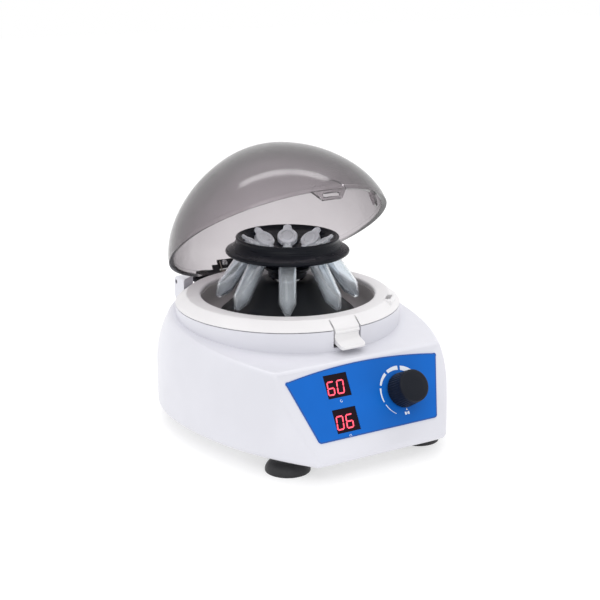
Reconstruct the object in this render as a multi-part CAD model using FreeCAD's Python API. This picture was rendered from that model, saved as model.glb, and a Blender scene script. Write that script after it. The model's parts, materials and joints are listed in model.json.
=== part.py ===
import FreeCAD, Part
import math
import os

# Mini centrifuge for eight 2 ml sample tubes.  Millimetres.
# Origin: on the rotor's axis, at the level of the desk.  +Z up, front panel towards -Y, +X right.

V = FreeCAD.Vector
UP = V(0, 0, 1)
ORIGIN = V(0, 0, 0)

# ---- driving dimensions -------------------------------------------------
WALL = 2.5                    # moulded casing thickness

REAR_R = 80.0                 # back half of the casing, round about the rotor's axis
SIDE_R = 168.0                # long side curves
SIDE_C = SIDE_R - REAR_R      # how far the side curves' centres lie past the axis
SKIRT_Z = 10.0                # lower edge of the casing
SKIRT_EDGE = 4.0              # rounding of that edge
BEND_Z = 37.0                 # the side walls are upright up to here
BEND_R = 60.0                 # and bend inwards on this radius above it
LOFT_Z = 80.0                 # blank height before the top is cut
TOP_Z = 65.2                  # casing top above the axis
TOP_RISE = 0.075              # rise of that top per mm towards the back
CREASE_R = 3.5                # soft edges round the top and the front facet

LEAN = 30.0                   # front facet, degrees back from upright
FRONT_Y = -108.8              # facet plane at SKIRT_Z
PANEL_Z = 22.7                # height of the control panel's lower edge

COLLAR_R = 68.0               # round collar on the casing's top
COLLAR_Z = 72.2
BOWL_R = 52.6                 # mouth of the rotor chamber
RING_Z = 78.0                 # top of the seat ring
BOWL_FLOOR = 60.0

HINGE_Y = 65.0
HINGE_Z = 74.6
HINGE_PIN_R = 1.5
CHEEK_IN = 34.5               # inner and outer faces of the hinge cheeks
CHEEK_OUT = 44.0
CHEEK_R = 3.6                 # rounding of the cheeks over the pin
LID_OPEN = 33.5               # how far the lid stands open at rest, degrees
LID_R = 68.4
LID_H = 56.9
LID_Z = 74.4                  # rim level with the lid shut
LID_FULLNESS = 1.69           # 2 would be a plain ellipse
LID_WALL = 2.2
HINGE_BAY = 32.5              # half width of the space behind the seat ring for the hinge
LEAF_HALF = 31.0              # half width over the hinge leaf's outer knuckles
KNUCKLE_R = 2.7
KNUCKLE_IN = 13.0             # the outer knuckles start here
KNUCKLE_MID = 5.4             # half width of the middle knuckle
LEAF_Y = 62.7                 # front face of the upright leaf, lid shut
LEAF_T = 1.2
BRIDGE_HALF = 17.5            # half width of the leaf above the knuckles
BRIDGE_TOP = 6.6              # its top, above the pin
TAB_HALF = 13.2               # half width of the leaf's screwed tab
TAB_TOP = 9.6
SPRING_OUT = 3.3              # outer radius of the lid spring's coils
SPRING_IN = 2.5
SPRING_TURNS = 6
SPRING_PITCH = 1.05
WIRE = 0.8
INTERLOCK_TURN = 46.0         # interlock pocket: degrees from the front, towards +X

LATCH_HALF = 8.0              # half width of the latch finger
LATCH_SLIT = 1.1
LATCH_ROOT_Y = -61.5
CATCH_Z = 71.0                # latch rib and the slot in the lid's tab

TUBE_TILT = 35.0              # tubes lean out by this much
TUBE_COUNT = 8
TUBE_FIRST = -120.0           # direction of tube 1 about the axis, degrees
CAP_R = 19.0                  # centre of a cap's top face: radius and height
CAP_Z = 108.0
CAP_RADIUS = 6.2
TUBE_R = 5.15
TUBE_LENGTH = 40.5
TILT = math.radians(TUBE_TILT)
SEAT_DROP = 3.2               # from a cap's top face to the rotor's seat, along the tube
ROTOR_HOLE_R = 5.45
SHAFT_R = 3.0
RUNNING = 0.03                # radial running clearance
MOTOR_TOP = 74.0
MOTOR_LOW = 22.0
MOTOR_R = 18.0

FOOT_R = 12.8
FOOT_X = 44.0
FOOT_FRONT_Y = -76.0
FOOT_REAR_Y = 44.0

WINDOW_W = 15.0               # display windows in the panel
WINDOW_H = 13.2
WINDOW_X = -19.0
SPEED_V = 29.1                # window centres up the panel from its lower edge
TIME_V = 9.7
KNOB_X = 20.8
KNOB_V = 19.0
KNOB_R = 10.0
KNOB_H = 14.0

REAR_FLAT_Y = 74.4            # flat recess at the back for the inlet and the switch
REAR_MID_Z = 27.5
INLET_X = -14.0
SWITCH_X = 17.0


# ---- small helpers --------------------------------------------------------
def face_of(start, steps, place):
    """Closed face from straight steps (x, y) and arc steps ((mid), (end))."""
    edges = []
    here = start
    for step in list(steps) + [start]:
        arc = isinstance(step[0], tuple)
        there = step[1] if arc else step
        if arc:
            edges.append(Part.Arc(place(*here), place(*step[0]), place(*there)).toShape())
        elif math.dist(here, there) > 1e-6:
            edges.append(Part.makeLine(place(*here), place(*there)))
        here = there
    return Part.Face(Part.Wire(edges))


def spun(start, *steps):
    """Solid of revolution about Z from a profile in radius and height."""
    face = face_of(start, steps, lambda r, z: V(r, 0, z))
    return face.revolve(ORIGIN, UP, 360)


def slab(start, *steps, z, height):
    """Upright prism over an outline in X and Y."""
    return face_of(start, steps, lambda x, y: V(x, y, z)).extrude(V(0, 0, height))


def block(x0, x1, y0, y1, z0, z1):
    return Part.makeBox(x1 - x0, y1 - y0, z1 - z0, V(x0, y0, z0))


def rod(radius, length, base, axis=UP):
    return Part.makeCylinder(radius, length, base, axis)


def tube(outer, inner, length, base, axis=UP):
    return rod(outer, length, base, axis).cut(rod(inner, length, base, axis))


def fused(shapes):
    whole = shapes[0]
    for shape in shapes[1:]:
        whole = whole.fuse(shape)
    return whole.removeSplitter()


def mirrored(shape):
    return shape.mirror(ORIGIN, V(1, 0, 0))


def polar(radius, degrees, z=0.0):
    turn = math.radians(degrees)
    return V(radius * math.cos(turn), radius * math.sin(turn), z)


def turned(shape, degrees):
    copy = shape.copy()
    copy.rotate(ORIGIN, UP, degrees)
    return copy


def ring_of(shape, count, first=0.0):
    return [turned(shape, first + 360.0 * k / count) for k in range(count)]


def group(shapes):
    return Part.makeCompound(shapes)


def pan_screw(head_r, head_h, shank_r, length):
    """Cross-recess pan-head screw, head up, shoulder at z = 0."""
    head = spun((0, 0), (head_r, 0), ((head_r * 0.88, head_h * 0.75), (0, head_h)))
    arm = head_r * 0.55
    cross = block(-arm, arm, -0.4, 0.4, head_h * 0.45, head_h * 1.2)
    cross = cross.fuse(block(-0.4, 0.4, -arm, arm, head_h * 0.45, head_h * 1.2))
    return head.cut(cross).fuse(rod(shank_r, length, V(0, 0, -length)))


def screws_at(screw, places, flip=False):
    made = []
    for place in places:
        copy = screw.copy()
        if flip:
            copy.rotate(ORIGIN, V(1, 0, 0), 180)
        copy.translate(place)
        made.append(copy)
    return group(made)


def placed(shape, base, axis, degrees):
    copy = shape.copy()
    move = FreeCAD.Placement(base, FreeCAD.Rotation(axis, degrees))
    copy.Placement = move.multiply(copy.Placement)
    return copy


# ---- the front facet ------------------------------------------------------
def facet_y(z):
    return FRONT_Y + (z - SKIRT_Z) * math.tan(math.radians(LEAN))


def on_panel(shape, u=0.0, v=0.0, out=0.0):
    """Move a shape from panel coordinates (across, up the slope, outwards) into the model."""
    lean = math.radians(LEAN)
    base = V(u, facet_y(PANEL_Z), PANEL_Z)
    base = base + V(0, math.sin(lean), math.cos(lean)) * v
    base = base + V(0, -math.cos(lean), math.sin(lean)) * out
    return placed(shape, base, V(1, 0, 0), 90 - LEAN)


# ---- the casing -------------------------------------------------------------
def wall_disc(radius, inset):
    """Round blank whose edge follows the casing's wall: upright, then bending inwards."""
    rim = radius - inset
    edge = max(SKIRT_EDGE - inset, 0.5)
    low = SKIRT_Z + inset
    bend = BEND_R - inset
    centre = radius - BEND_R
    rise = LOFT_Z - BEND_Z
    half = rise / 2
    top_r = centre + math.sqrt(bend ** 2 - rise ** 2)
    mid_r = centre + math.sqrt(bend ** 2 - half ** 2)
    turn = edge * (1 - math.sqrt(0.5))
    return spun((0, low), (rim - edge, low), ((rim - turn, low + turn), (rim, low + edge)),
                (rim, BEND_Z), ((mid_r, BEND_Z + half), (top_r, LOFT_Z)), (0, LOFT_Z))


def casing_form(inset=0.0):
    """The casing's outer form, or the same form set in by the wall's thickness."""
    reach = 200.0
    rear = wall_disc(REAR_R, inset).common(block(-reach, reach, 0, reach, 0, reach))
    side = wall_disc(SIDE_R, inset)
    left = side.copy()
    left.translate(V(SIDE_C, 0, 0))
    right = side.copy()
    right.translate(V(-SIDE_C, 0, 0))
    front = left.common(right).common(block(-reach, reach, -reach, 0, 0, reach))
    body = rear.fuse(front).removeSplitter()
    lean = math.radians(LEAN)
    beyond = Part.makeBox(2 * reach, reach, 2 * reach, V(-reach, -reach, -reach))
    nose = placed(beyond, V(0, facet_y(SKIRT_Z) + inset / math.cos(lean), SKIRT_Z), V(1, 0, 0), -LEAN)
    above = Part.makeBox(2 * reach, 2 * reach, reach, V(-reach, -reach, 0))
    rise = math.degrees(math.atan(TOP_RISE))
    above = placed(above, V(0, 0, TOP_Z - inset), V(1, 0, 0), rise)
    return body.cut(nose).cut(above)


def softened(form):
    """Round the casing's long edges: round the top, and round the front facet."""
    chosen = []
    for edge in form.Edges:
        points = [edge.valueAt(edge.FirstParameter + f * (edge.LastParameter - edge.FirstParameter))
                  for f in (0.1, 0.5, 0.9)]
        on_top = all(abs(p.z - TOP_Z - TOP_RISE * p.y) < 0.05 for p in points)
        on_facet = all(abs(p.y - facet_y(p.z)) < 0.05 for p in points)
        if on_top or on_facet:
            chosen.append(edge)
    return form.makeFillet(CREASE_R, chosen)


def footprint(inset, z, height):
    """Prism over the casing's outline at its lower edge, set in."""
    rear = REAR_R - inset
    side = SIDE_R - inset
    front = facet_y(SKIRT_Z) + inset
    corner = math.sqrt(side ** 2 - front ** 2) - SIDE_C
    half = math.asin(-front / side) / 2
    mid = (side * math.cos(half) - SIDE_C, -side * math.sin(half))
    return slab((rear, 0), ((0, rear), (-rear, 0)), ((-mid[0], mid[1]), (-corner, front)),
                (corner, front), ((mid[0], mid[1]), (rear, 0)), z=z, height=height)


def hinge_cheeks():
    """Two cheeks behind the collar, rounded over the hinge pin and sloping down to the casing."""
    turn = CHEEK_R * math.sqrt(0.5)
    side = face_of((51.0, 54.0), [(60.0, 54.0), (HINGE_Y + CHEEK_R, 67.5), (HINGE_Y + CHEEK_R, HINGE_Z),
                                  ((HINGE_Y + turn, HINGE_Z + turn), (HINGE_Y, HINGE_Z + CHEEK_R)),
                                  (51.0, HINGE_Z + CHEEK_R)], lambda y, z: V(CHEEK_IN, y, z))
    cheek = side.extrude(V(CHEEK_OUT - CHEEK_IN, 0, 0))
    cheek = cheek.makeFillet(1.5, [e for e in cheek.Edges if e.BoundBox.XMin > CHEEK_OUT - 0.01
                                   and e.BoundBox.ZMin > 60])
    cheek = cheek.cut(rod(LID_R + 1.1, 40, V(0, 0, 50)))
    return [cheek, mirrored(cheek)]


def base_screw_places():
    return [V(x, y, 0) for x, y in ((-36, -91), (36, -91), (-64, 25), (64, 25))]


def upper_housing():
    """Moulded casing: barrel sides, sloping top with a round collar, leaning front facet."""
    outer = softened(casing_form())
    collar = spun((COLLAR_R - WALL, 56), (COLLAR_R, 56), (COLLAR_R, COLLAR_Z - 0.6),
                  (COLLAR_R - 0.6, COLLAR_Z), (COLLAR_R - WALL, COLLAR_Z))
    outer = fused([outer, rod(COLLAR_R, COLLAR_Z - 56, V(0, 0, 56))] + hinge_cheeks())
    shell = outer.cut(casing_form(WALL))
    shell = shell.cut(rod(COLLAR_R - WALL, 60, V(0, 0, 50)))
    shell = shell.fuse(collar.common(casing_form(WALL)))
    shell = shell.cut(footprint(8.0, 5, 10))
    room = casing_form(WALL / 2)
    for place in base_screw_places():
        boss = rod(4.0, 50, V(place.x, place.y, 12.4)).cut(rod(1.2, 16, V(place.x, place.y, 12.0)))
        shell = shell.fuse(boss.common(room))
    shell = shell.fuse(block(-HINGE_BAY, HINGE_BAY, 60.9, COLLAR_R - 1.5, 67.0, 68.2))
    shell = shell.cut(block(-HINGE_BAY, HINGE_BAY, HINGE_Y - 8, HINGE_Y + 20, HINGE_Z - 4.2, 90))
    shell = shell.cut(rod(HINGE_PIN_R, 2 * CHEEK_OUT + 2, V(-CHEEK_OUT - 1, HINGE_Y, HINGE_Z), V(1, 0, 0)))
    slit = LATCH_HALF + LATCH_SLIT
    shell = shell.cut(block(-slit, slit, -75, -58, 62.2, 80))
    return rear_openings(panel_openings(shell)).removeSplitter()


def panel_openings(shell):
    """Windows for the two displays and the hole for the encoder's bush."""
    for v in (SPEED_V, TIME_V):
        window = block(-WINDOW_W / 2 - 0.2, WINDOW_W / 2 + 0.2,
                       -WINDOW_H / 2 - 0.2, WINDOW_H / 2 + 0.2, -8, 4)
        shell = shell.cut(on_panel(window, WINDOW_X, v))
    return shell.cut(on_panel(rod(3.6, 12, V(0, 0, -8)), KNOB_X, KNOB_V))


def rear_openings(shell):
    """Flat recess at the back, with openings for the mains inlet and the rocker switch."""
    recess = block(-31, 31, REAR_FLAT_Y, REAR_FLAT_Y + 20, 14.5, 41.5)
    backing = block(-33, 33, REAR_FLAT_Y - WALL, REAR_FLAT_Y + 8, 12.4, 44).common(casing_form(1.0))
    shell = shell.fuse(backing).cut(recess)
    shell = shell.cut(block(INLET_X - 13.6, INLET_X + 13.6, 60, 80, REAR_MID_Z - 9.9, REAR_MID_Z + 9.9))
    return shell.cut(block(SWITCH_X - 9.4, SWITCH_X + 9.4, 60, 80, REAR_MID_Z - 6.4, REAR_MID_Z + 6.4))


def base_plate():
    """Flat lid under the casing, with vents, screw holes and seats for the feet."""
    plate = footprint(8.3, 10.4, 2.0)
    for x, y in foot_places():
        plate = plate.cut(rod(2.1, 6, V(x, y, 8)))
    for place in base_screw_places():
        plate = plate.cut(rod(1.7, 6, V(place.x, place.y, 8)))
    for k in range(-4, 5):
        plate = plate.cut(block(k * 7 - 1.5, k * 7 + 1.5, -38, 24, 9, 13))
    return plate


# ---- seat ring, bowl and latch -------------------------------------------------
def seat_ring():
    """Cover ring round the bowl's mouth: flat seat, sloping shoulder, skirt inside the collar."""
    edge = COLLAR_R - WALL - 0.1
    ring = spun((BOWL_R, 76.6), ((BOWL_R + 0.4, 77.6), (BOWL_R + 1.4, RING_Z)), (60.6, RING_Z),
                ((61.4, 77.85), (62.0, 77.4)), (67.4, 73.3), ((67.8, 73.0), (67.9, COLLAR_Z + 0.5)),
                (edge, COLLAR_Z + 0.5), (edge, 68.5), (edge - 2, 68.5), (edge - 2, 72.6),
                (60.4, 75.4), (BOWL_R, 75.4))
    slit = LATCH_HALF + LATCH_SLIT
    ring = ring.cut(block(-slit, slit, -75, LATCH_ROOT_Y + 0.05, 60, 80))
    ring = ring.cut(block(-HINGE_BAY, HINGE_BAY, HINGE_Y - 4.2, 80, HINGE_Z - 6.5, 80))
    boss = block(-7.2, 7.2, -64.9, -60.0, 74.2, 78.4)
    boss = boss.makeFillet(0.8, [e for e in boss.Edges if e.BoundBox.ZMin > 78.39])
    ring = ring.fuse(turned(boss, INTERLOCK_TURN))
    ring = ring.cut(turned(block(-4.6, 4.6, -63.6, -60.4, 60, 80), INTERLOCK_TURN))
    return ring.removeSplitter()


def rotor_bowl():
    """Deep-drawn chamber with a flange under the seat ring and a round corner to its floor."""
    t = 1.6
    low = BOWL_FLOOR
    bowl = spun((9.8, low), (41.5, low), ((48.4, low + 2.8), (51.2, low + 9.6)), (52.2, 75.3),
                (59.9, 75.3), (59.9, 75.3 - t), (53.8, 75.3 - t), (51.2 + t, low + 9.6),
                ((49.6, low + 1.6), (41.5, low - t)), (9.8, low - t))
    for place in damper_places():
        bowl = bowl.cut(rod(1.6, 8, V(place.x, place.y, low - 5)))
    return bowl.cut(rod(23.0, 10, V(0, 0, low - 5)))


def latch_finger():
    """Springy tongue between two slits: sloping top, catch rib, and a thumb lip below."""
    rib = CATCH_Z
    profile = spun((60.6, RING_Z), ((61.4, 77.85), (62.0, 77.4)), (67.2, 73.45), (67.6, 73.0),
                   (67.6, rib + 0.9), (68.25, rib + 0.5), (68.25, rib - 0.5), (67.4, rib - 1.3),
                   (67.4, 68.2), ((68.4, 66.9), (70.0, 66.2)), (74.6, 64.6), ((75.6, 63.7), (74.9, 62.7)),
                   (69.0, 63.9), (66.0, 64.6), (65.2, 66.0), (65.2, 72.4), (60.6, 75.5))
    wide, tip, corner = LATCH_HALF, -75.7, 3.0
    turn = corner * (1 - math.sqrt(0.5))
    plan = slab((-wide, LATCH_ROOT_Y), (-wide, tip + corner),
                ((-wide + turn, tip + turn), (-wide + corner, tip)), (wide - corner, tip),
                ((wide - turn, tip + turn), (wide, tip + corner)), (wide, LATCH_ROOT_Y), z=60, height=20)
    return profile.common(plan)


# ---- the lid (built shut, then swung open) -----------------------------------------
def dome_edge(radius, height, low):
    """Quarter profile of the dome, from its rim up to the apex."""
    points = []
    for k in range(0, 10):
        a = math.radians(10.0 * k)
        r = radius * max(math.cos(a), 0.0) ** (2 / LID_FULLNESS)
        z = height * math.sin(a) ** (2 / LID_FULLNESS)
        points.append(V(r, 0, low + z))
    points[-1] = V(0, 0, low + height)
    curve = Part.BSplineCurve()
    curve.interpolate(Points=points, InitialTangent=V(0, 0, 1), FinalTangent=V(-1, 0, 0))
    return curve.toShape()


def dome_solid(radius, height, low):
    top = dome_edge(radius, height, low)
    axis = Part.makeLine(V(0, 0, low + height), V(0, 0, low))
    floor = Part.makeLine(V(0, 0, low), V(radius, 0, low))
    return Part.Face(Part.Wire([floor, top, axis])).revolve(ORIGIN, UP, 360)


def tab_outline(grow, y0, y1):
    """Six-sided front tab of the lid, as a prism along Y; its top edge is a low arc."""
    low = LID_Z - 6.2 - grow
    face = face_of((-6.2 - grow, low), [(6.2 + grow, low), (11.6 + grow, LID_Z),
                                        (7.0 + grow, LID_Z + 4.0 + grow),
                                        ((0, LID_Z + 5.4 + grow), (-7.0 - grow, LID_Z + 4.0 + grow)),
                                        (-11.6 - grow, LID_Z)], lambda x, z: V(x, y0, z))
    return face.extrude(V(0, y1 - y0, 0))


def lid_dome():
    """Thin smoked dome with a bevelled rim, a raised latch tab and a shelf for the hinge leaf."""
    shell = dome_solid(LID_R, LID_H, LID_Z).cut(dome_solid(LID_R - LID_WALL, LID_H - LID_WALL, LID_Z))
    lip = spun((LID_R - 3.0, LID_Z), (LID_R - 1.0, LID_Z), (LID_R - 1.0, LID_Z + 3), (LID_R - 3.0, LID_Z + 3))
    bevel = spun((LID_R - 4.0, LID_Z - 1), (LID_R - 0.6, LID_Z - 1), (LID_R - 0.6, LID_Z),
                 (LID_R - 4.0, LID_Z + 1.1))
    shell = shell.fuse(lip).cut(bevel)
    raised = dome_solid(LID_R + 1.8, LID_H + 1.8, LID_Z).fuse(rod(LID_R + 1.8, 8, V(0, 0, LID_Z - 8)))
    hollow = dome_solid(LID_R - 1.0, LID_H - 1.0, LID_Z).fuse(rod(LID_R + 0.2, 8, V(0, 0, LID_Z - 8)))
    tab = raised.cut(hollow).common(tab_outline(0.0, -75, -55))
    slot = block(-5.4, 5.4, -75, -60, CATCH_Z - 1.2, CATCH_Z + 1.2)
    slot = slot.makeFillet(0.9, [e for e in slot.Edges if e.BoundBox.YLength > 10])
    back = LEAF_Y + LEAF_T
    land = block(-BRIDGE_HALF - 1, BRIDGE_HALF + 1, back, 72, HINGE_Z + 2.0, HINGE_Z + TAB_TOP + 0.4)
    land = land.common(dome_solid(LID_R - 1.0, LID_H - 1.0, LID_Z))
    lid = fused([shell, tab.cut(slot), land])
    lid = lid.cut(block(-LEAF_HALF - 0.4, LEAF_HALF + 0.4, HINGE_Y - 3.8, 80, 60, HINGE_Z + 3.8))
    for half, top in ((BRIDGE_HALF + 0.3, BRIDGE_TOP + 0.2), (TAB_HALF + 0.3, TAB_TOP + 0.2)):
        lid = lid.cut(block(-half, half, 55, back, HINGE_Z, HINGE_Z + top))
    for x, z in leaf_screw_places():
        lid = lid.cut(rod(0.98, 2.6, V(x, LEAF_Y, z), V(0, 1, 0)))
    return lid


def leaf_screw_places():
    return [(-8.6, HINGE_Z + 6.9), (8.6, HINGE_Z + 6.9)]


def lid_hinge_leaf():
    """Pressed steel leaf on the lid's land, with three rolled knuckles on the pin."""
    back = LEAF_Y + LEAF_T
    foot = HINGE_Z + 3.6
    plates = [block(-BRIDGE_HALF, BRIDGE_HALF, LEAF_Y, back, foot, HINGE_Z + BRIDGE_TOP),
              block(-TAB_HALF, TAB_HALF, LEAF_Y, back, foot, HINGE_Z + TAB_TOP)]
    for low, high in ((-LEAF_HALF, -KNUCKLE_IN), (-KNUCKLE_MID, KNUCKLE_MID), (KNUCKLE_IN, LEAF_HALF)):
        plates.append(block(low, high, LEAF_Y, back, HINGE_Z, foot))
        plates.append(rod(KNUCKLE_R, high - low, V(low, HINGE_Y, HINGE_Z), V(1, 0, 0)))
    bore = rod(HINGE_PIN_R + 0.05, 80, V(-40, HINGE_Y, HINGE_Z), V(1, 0, 0))
    leaf = fused(plates).cut(bore)
    for x, z in leaf_screw_places():
        leaf = leaf.cut(rod(1.2, 5, V(x, LEAF_Y - 1, z), V(0, 1, 0)))
    return leaf


def lid_spring():
    """Two close-wound coils round the pin, each with a leg that pushes the lid up."""
    length = SPRING_TURNS * SPRING_PITCH
    valley = SPRING_OUT - WIRE / 3
    turns = []
    for k in range(SPRING_TURNS):
        turns.append((((k + 0.5) * SPRING_PITCH, SPRING_OUT), ((k + 1) * SPRING_PITCH, valley)))
    profile = face_of((0, SPRING_IN), [(0, valley)] + turns + [(length, SPRING_IN)],
                      lambda x, r: V(x, HINGE_Y - r, HINGE_Z))
    coil = profile.revolve(V(0, HINGE_Y, HINGE_Z), V(1, 0, 0), 360)
    leg_y = HINGE_Y - SPRING_OUT + 0.3
    leg = rod(WIRE / 2, 8.6, V(SPRING_PITCH / 2, leg_y, HINGE_Z), V(0, -0.02, 1))
    left = coil.fuse(leg)
    left.translate(V(-KNUCKLE_IN + 0.5, 0, 0))
    return group([left, mirrored(left)])


def interlock_tongue():
    """Wedge on the lid's inside that enters the ring's pocket and trips the sensor."""
    top = LID_Z + 5.6
    wedge = face_of((-63.2, top), [(-60.9, top), (-60.9, LID_Z + 0.5), (-61.4, LID_Z - 4.2),
                                   (-62.6, LID_Z - 4.2), (-63.2, LID_Z + 0.5)],
                    lambda y, z: V(-4.0, y, z)).extrude(V(8.0, 0, 0))
    pad = block(-5.0, 5.0, -67.4, -60.9, LID_Z + 4.3, top)
    inside = dome_solid(LID_R - LID_WALL - 0.05, LID_H - LID_WALL - 0.05, LID_Z)
    room = inside.fuse(rod(64.5, 10, V(0, 0, LID_Z - 8)))
    return turned(fused([wedge, pad]).common(room), INTERLOCK_TURN)


def swung(shape):
    copy = shape.copy()
    copy.rotate(V(0, HINGE_Y, HINGE_Z), V(1, 0, 0), -LID_OPEN)
    return copy


def hinge_pin():
    pin = rod(HINGE_PIN_R, 2 * CHEEK_OUT - 1, V(-CHEEK_OUT + 0.5, HINGE_Y, HINGE_Z), V(1, 0, 0))
    ends = [e for e in pin.Edges if e.BoundBox.XLength < 0.01]
    return pin.makeChamfer(0.3, ends)


def interlock_sensor():
    """Sealed reed sensor in a clip under the pocket."""
    body = block(-9, 9, -64.4, -59.8, 61.0, 67.6)
    body = body.makeFillet(0.8, [e for e in body.Edges if e.BoundBox.ZLength > 5])
    lead = rod(1.0, 6, V(-5, -62, 55.4)).fuse(rod(1.0, 6, V(5, -62, 55.4)))
    return turned(body.fuse(lead), INTERLOCK_TURN)


# ---- rotor, tubes and drive ---------------------------------------------------------
def seat_z(r):
    """Height of the rotor's dished seat, which stands square to the tubes."""
    seat_r = CAP_R + SEAT_DROP * math.sin(TILT)
    return CAP_Z - SEAT_DROP * math.cos(TILT) + (r - seat_r) * math.tan(TILT)


def tube_axis():
    """Direction up a tube that leans out along +X."""
    return V(-math.sin(TILT), 0, math.cos(TILT))


def rotor():
    """Angle rotor: dished seat, flared rim, hub, and eight holes square to the seat."""
    web = 5.6 / math.cos(TILT)
    under = seat_z(14.0) - web
    body = spun((SHAFT_R + RUNNING, 87.6), (11.1, 87.6), (11.7, 88.2), (11.7, under - 2.4),
                ((12.4, under - 1.6), (14.0, under - 1.2)), (14.0, under), (28.4, seat_z(28.4) - web),
                (33.4, 102.6), ((35.2, 101.9), (36.6, 102.6)), ((37.3, 103.6), (36.7, 104.7)),
                ((33.2, 106.9), (31.2, 109.6)), ((30.9, 110.6), (31.1, 111.6)),
                ((30.5, 112.5), (29.5, 112.1)), (29.0, seat_z(29.0)), (10.6, seat_z(10.6)),
                (9.6, 96.4), (SHAFT_R + RUNNING, 96.4))
    hole = rod(ROTOR_HOLE_R, 40, V(CAP_R, 0, CAP_Z) - tube_axis() * 22, tube_axis())
    seat = rod(CAP_RADIUS + 0.35, 6, V(CAP_R, 0, CAP_Z) - tube_axis() * SEAT_DROP, tube_axis())
    for cut in ring_of(hole.fuse(seat), TUBE_COUNT, TUBE_FIRST):
        body = body.cut(cut)
    return body


def sample_tube():
    """2 ml tube with a blunt cone, closed by a cap with a raised ring, thumb tab and hinge strap."""
    r = TUBE_R
    low = -TUBE_LENGTH
    outside = spun((0, low), (1.1, low), ((1.7, low + 0.25), (2.0, low + 0.8)), (r - 0.2, low + 6.6),
                   (r, low + 8.0), (r, -SEAT_DROP), (CAP_RADIUS - 0.1, -SEAT_DROP),
                   (CAP_RADIUS - 0.1, -1.9), (0, -1.9))
    inside = spun((0, low + 1.4), (1.0, low + 1.4), (r - 1.1, low + 7.4), (r - 0.95, -4.6), (0, -4.6))
    cap = spun((0, -1.9), (CAP_RADIUS, -1.9), (CAP_RADIUS, -0.5),
               ((CAP_RADIUS - 0.2, -0.15), (CAP_RADIUS - 0.6, 0)), (4.3, 0), (4.0, -0.35),
               (3.1, -0.35), (2.8, -0.05), (0, -0.05))
    tab = slab((CAP_RADIUS - 1.5, -3.0), (CAP_RADIUS + 2.0, -2.4),
               ((CAP_RADIUS + 3.2, 0), (CAP_RADIUS + 2.0, 2.4)),
               (CAP_RADIUS - 1.5, 3.0), z=-1.5, height=1.2)
    strap = block(-CAP_RADIUS - 0.9, -CAP_RADIUS + 0.6, -2.0, 2.0, -3.0, -0.6)
    whole = fused([outside, cap, tab, strap]).cut(inside)
    return placed(whole, V(CAP_R, 0, CAP_Z), V(0, 1, 0), -TUBE_TILT)


def rotor_nut():
    """Knurled nut in the rotor's well, on the spindle's thread."""
    nut = spun((2.45, 96.5), (6.2, 96.5), (6.6, 97.0), (6.6, 100.6), (6.0, 101.2), (3.2, 101.2),
               (2.45, 100.6))
    groove = block(6.35, 7.5, -0.28, 0.28, 96, 102)
    for cut in ring_of(groove, 24):
        nut = nut.cut(cut)
    return nut


def spindle():
    """Turned drive spindle: collar under the rotor's hub, running journal, threaded tip."""
    tip = SHAFT_R - 0.6
    return spun((2.5, 80.6), (8.4, 80.6), (8.4, 84.0), (7.2, 87.5), (SHAFT_R, 87.5), (SHAFT_R, 95.8),
                (tip, 96.3), (tip, 103.0), (tip - 0.5, 103.6), (0, 103.6), (0, 87.0), (2.5, 87.0))


def motor_shaft():
    return rod(2.5, 74.0, V(0, 0, 13.0))


def motor_can():
    """Drawn steel can with a bearing nose, round a bored core."""
    bore = 2.5 + RUNNING
    can = spun((bore, MOTOR_LOW), (MOTOR_R, MOTOR_LOW), (MOTOR_R, MOTOR_TOP - 2),
               ((17.4, MOTOR_TOP - 0.6), (16.0, MOTOR_TOP)),
               (6.0, MOTOR_TOP), (6.0, MOTOR_TOP + 4.6), (bore, MOTOR_TOP + 4.6))
    for place in motor_screw_places():
        can = can.cut(rod(1.25, 6, V(place.x, place.y, MOTOR_TOP - 6)))
    slot = block(14, 20, -3, 3, 30, 36)
    for cut in ring_of(slot, 4, 45):
        can = can.cut(cut)
    return can


def motor_screw_places():
    return [polar(11.0, a, MOTOR_TOP) for a in (0, 120, 240)]


def motor_end_cap():
    """Moulded brush holder under the can, with two terminals."""
    bore = 2.5 + RUNNING
    cap = spun((bore, 15.4), (5.0, 15.4), (5.0, 18.2), (16.4, 18.2), (17.6, 19.4),
               (17.6, MOTOR_LOW), (bore, MOTOR_LOW))
    blade = block(10.5, 11.3, -2.4, 2.4, 14.0, 18.4)
    return fused([cap] + ring_of(blade, 2, 90))


def motor_bracket():
    """Pressed hat that the motor hangs in; its brim rests on the rubber dampers."""
    outer = MOTOR_R + 1.9
    hat = spun((6.4, MOTOR_TOP + 0.05), (MOTOR_R + 0.4, MOTOR_TOP + 0.05), (MOTOR_R + 0.4, 50.0),
               (35.0, 50.0), (35.0, 51.5), (outer + 1.5, 51.5), ((outer + 0.4, 52.0), (outer, 53.0)),
               (outer, MOTOR_TOP), ((outer - 0.5, MOTOR_TOP + 1.2), (MOTOR_R + 0.2, MOTOR_TOP + 1.6)),
               (6.4, MOTOR_TOP + 1.6))
    for place in motor_screw_places():
        hat = hat.cut(rod(1.7, 6, V(place.x, place.y, MOTOR_TOP - 2)))
    for place in damper_places():
        hat = hat.cut(rod(1.8, 6, V(place.x, place.y, 48)))
    return hat


def damper_places():
    return [polar(28.5, a) for a in (30, 150, 270)]


def motor_dampers():
    """Three waisted rubber bushes between the bracket's brim and the bowl's floor."""
    high = BOWL_FLOOR - 1.6
    mid = (51.5 + high) / 2
    bush = spun((1.8, 51.5), (5.6, 51.5), ((4.4, mid), (5.6, high)), (1.8, high))
    made = []
    for place in damper_places():
        copy = bush.copy()
        copy.translate(V(place.x, place.y, 0))
        made.append(copy)
    return group(made)


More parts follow.
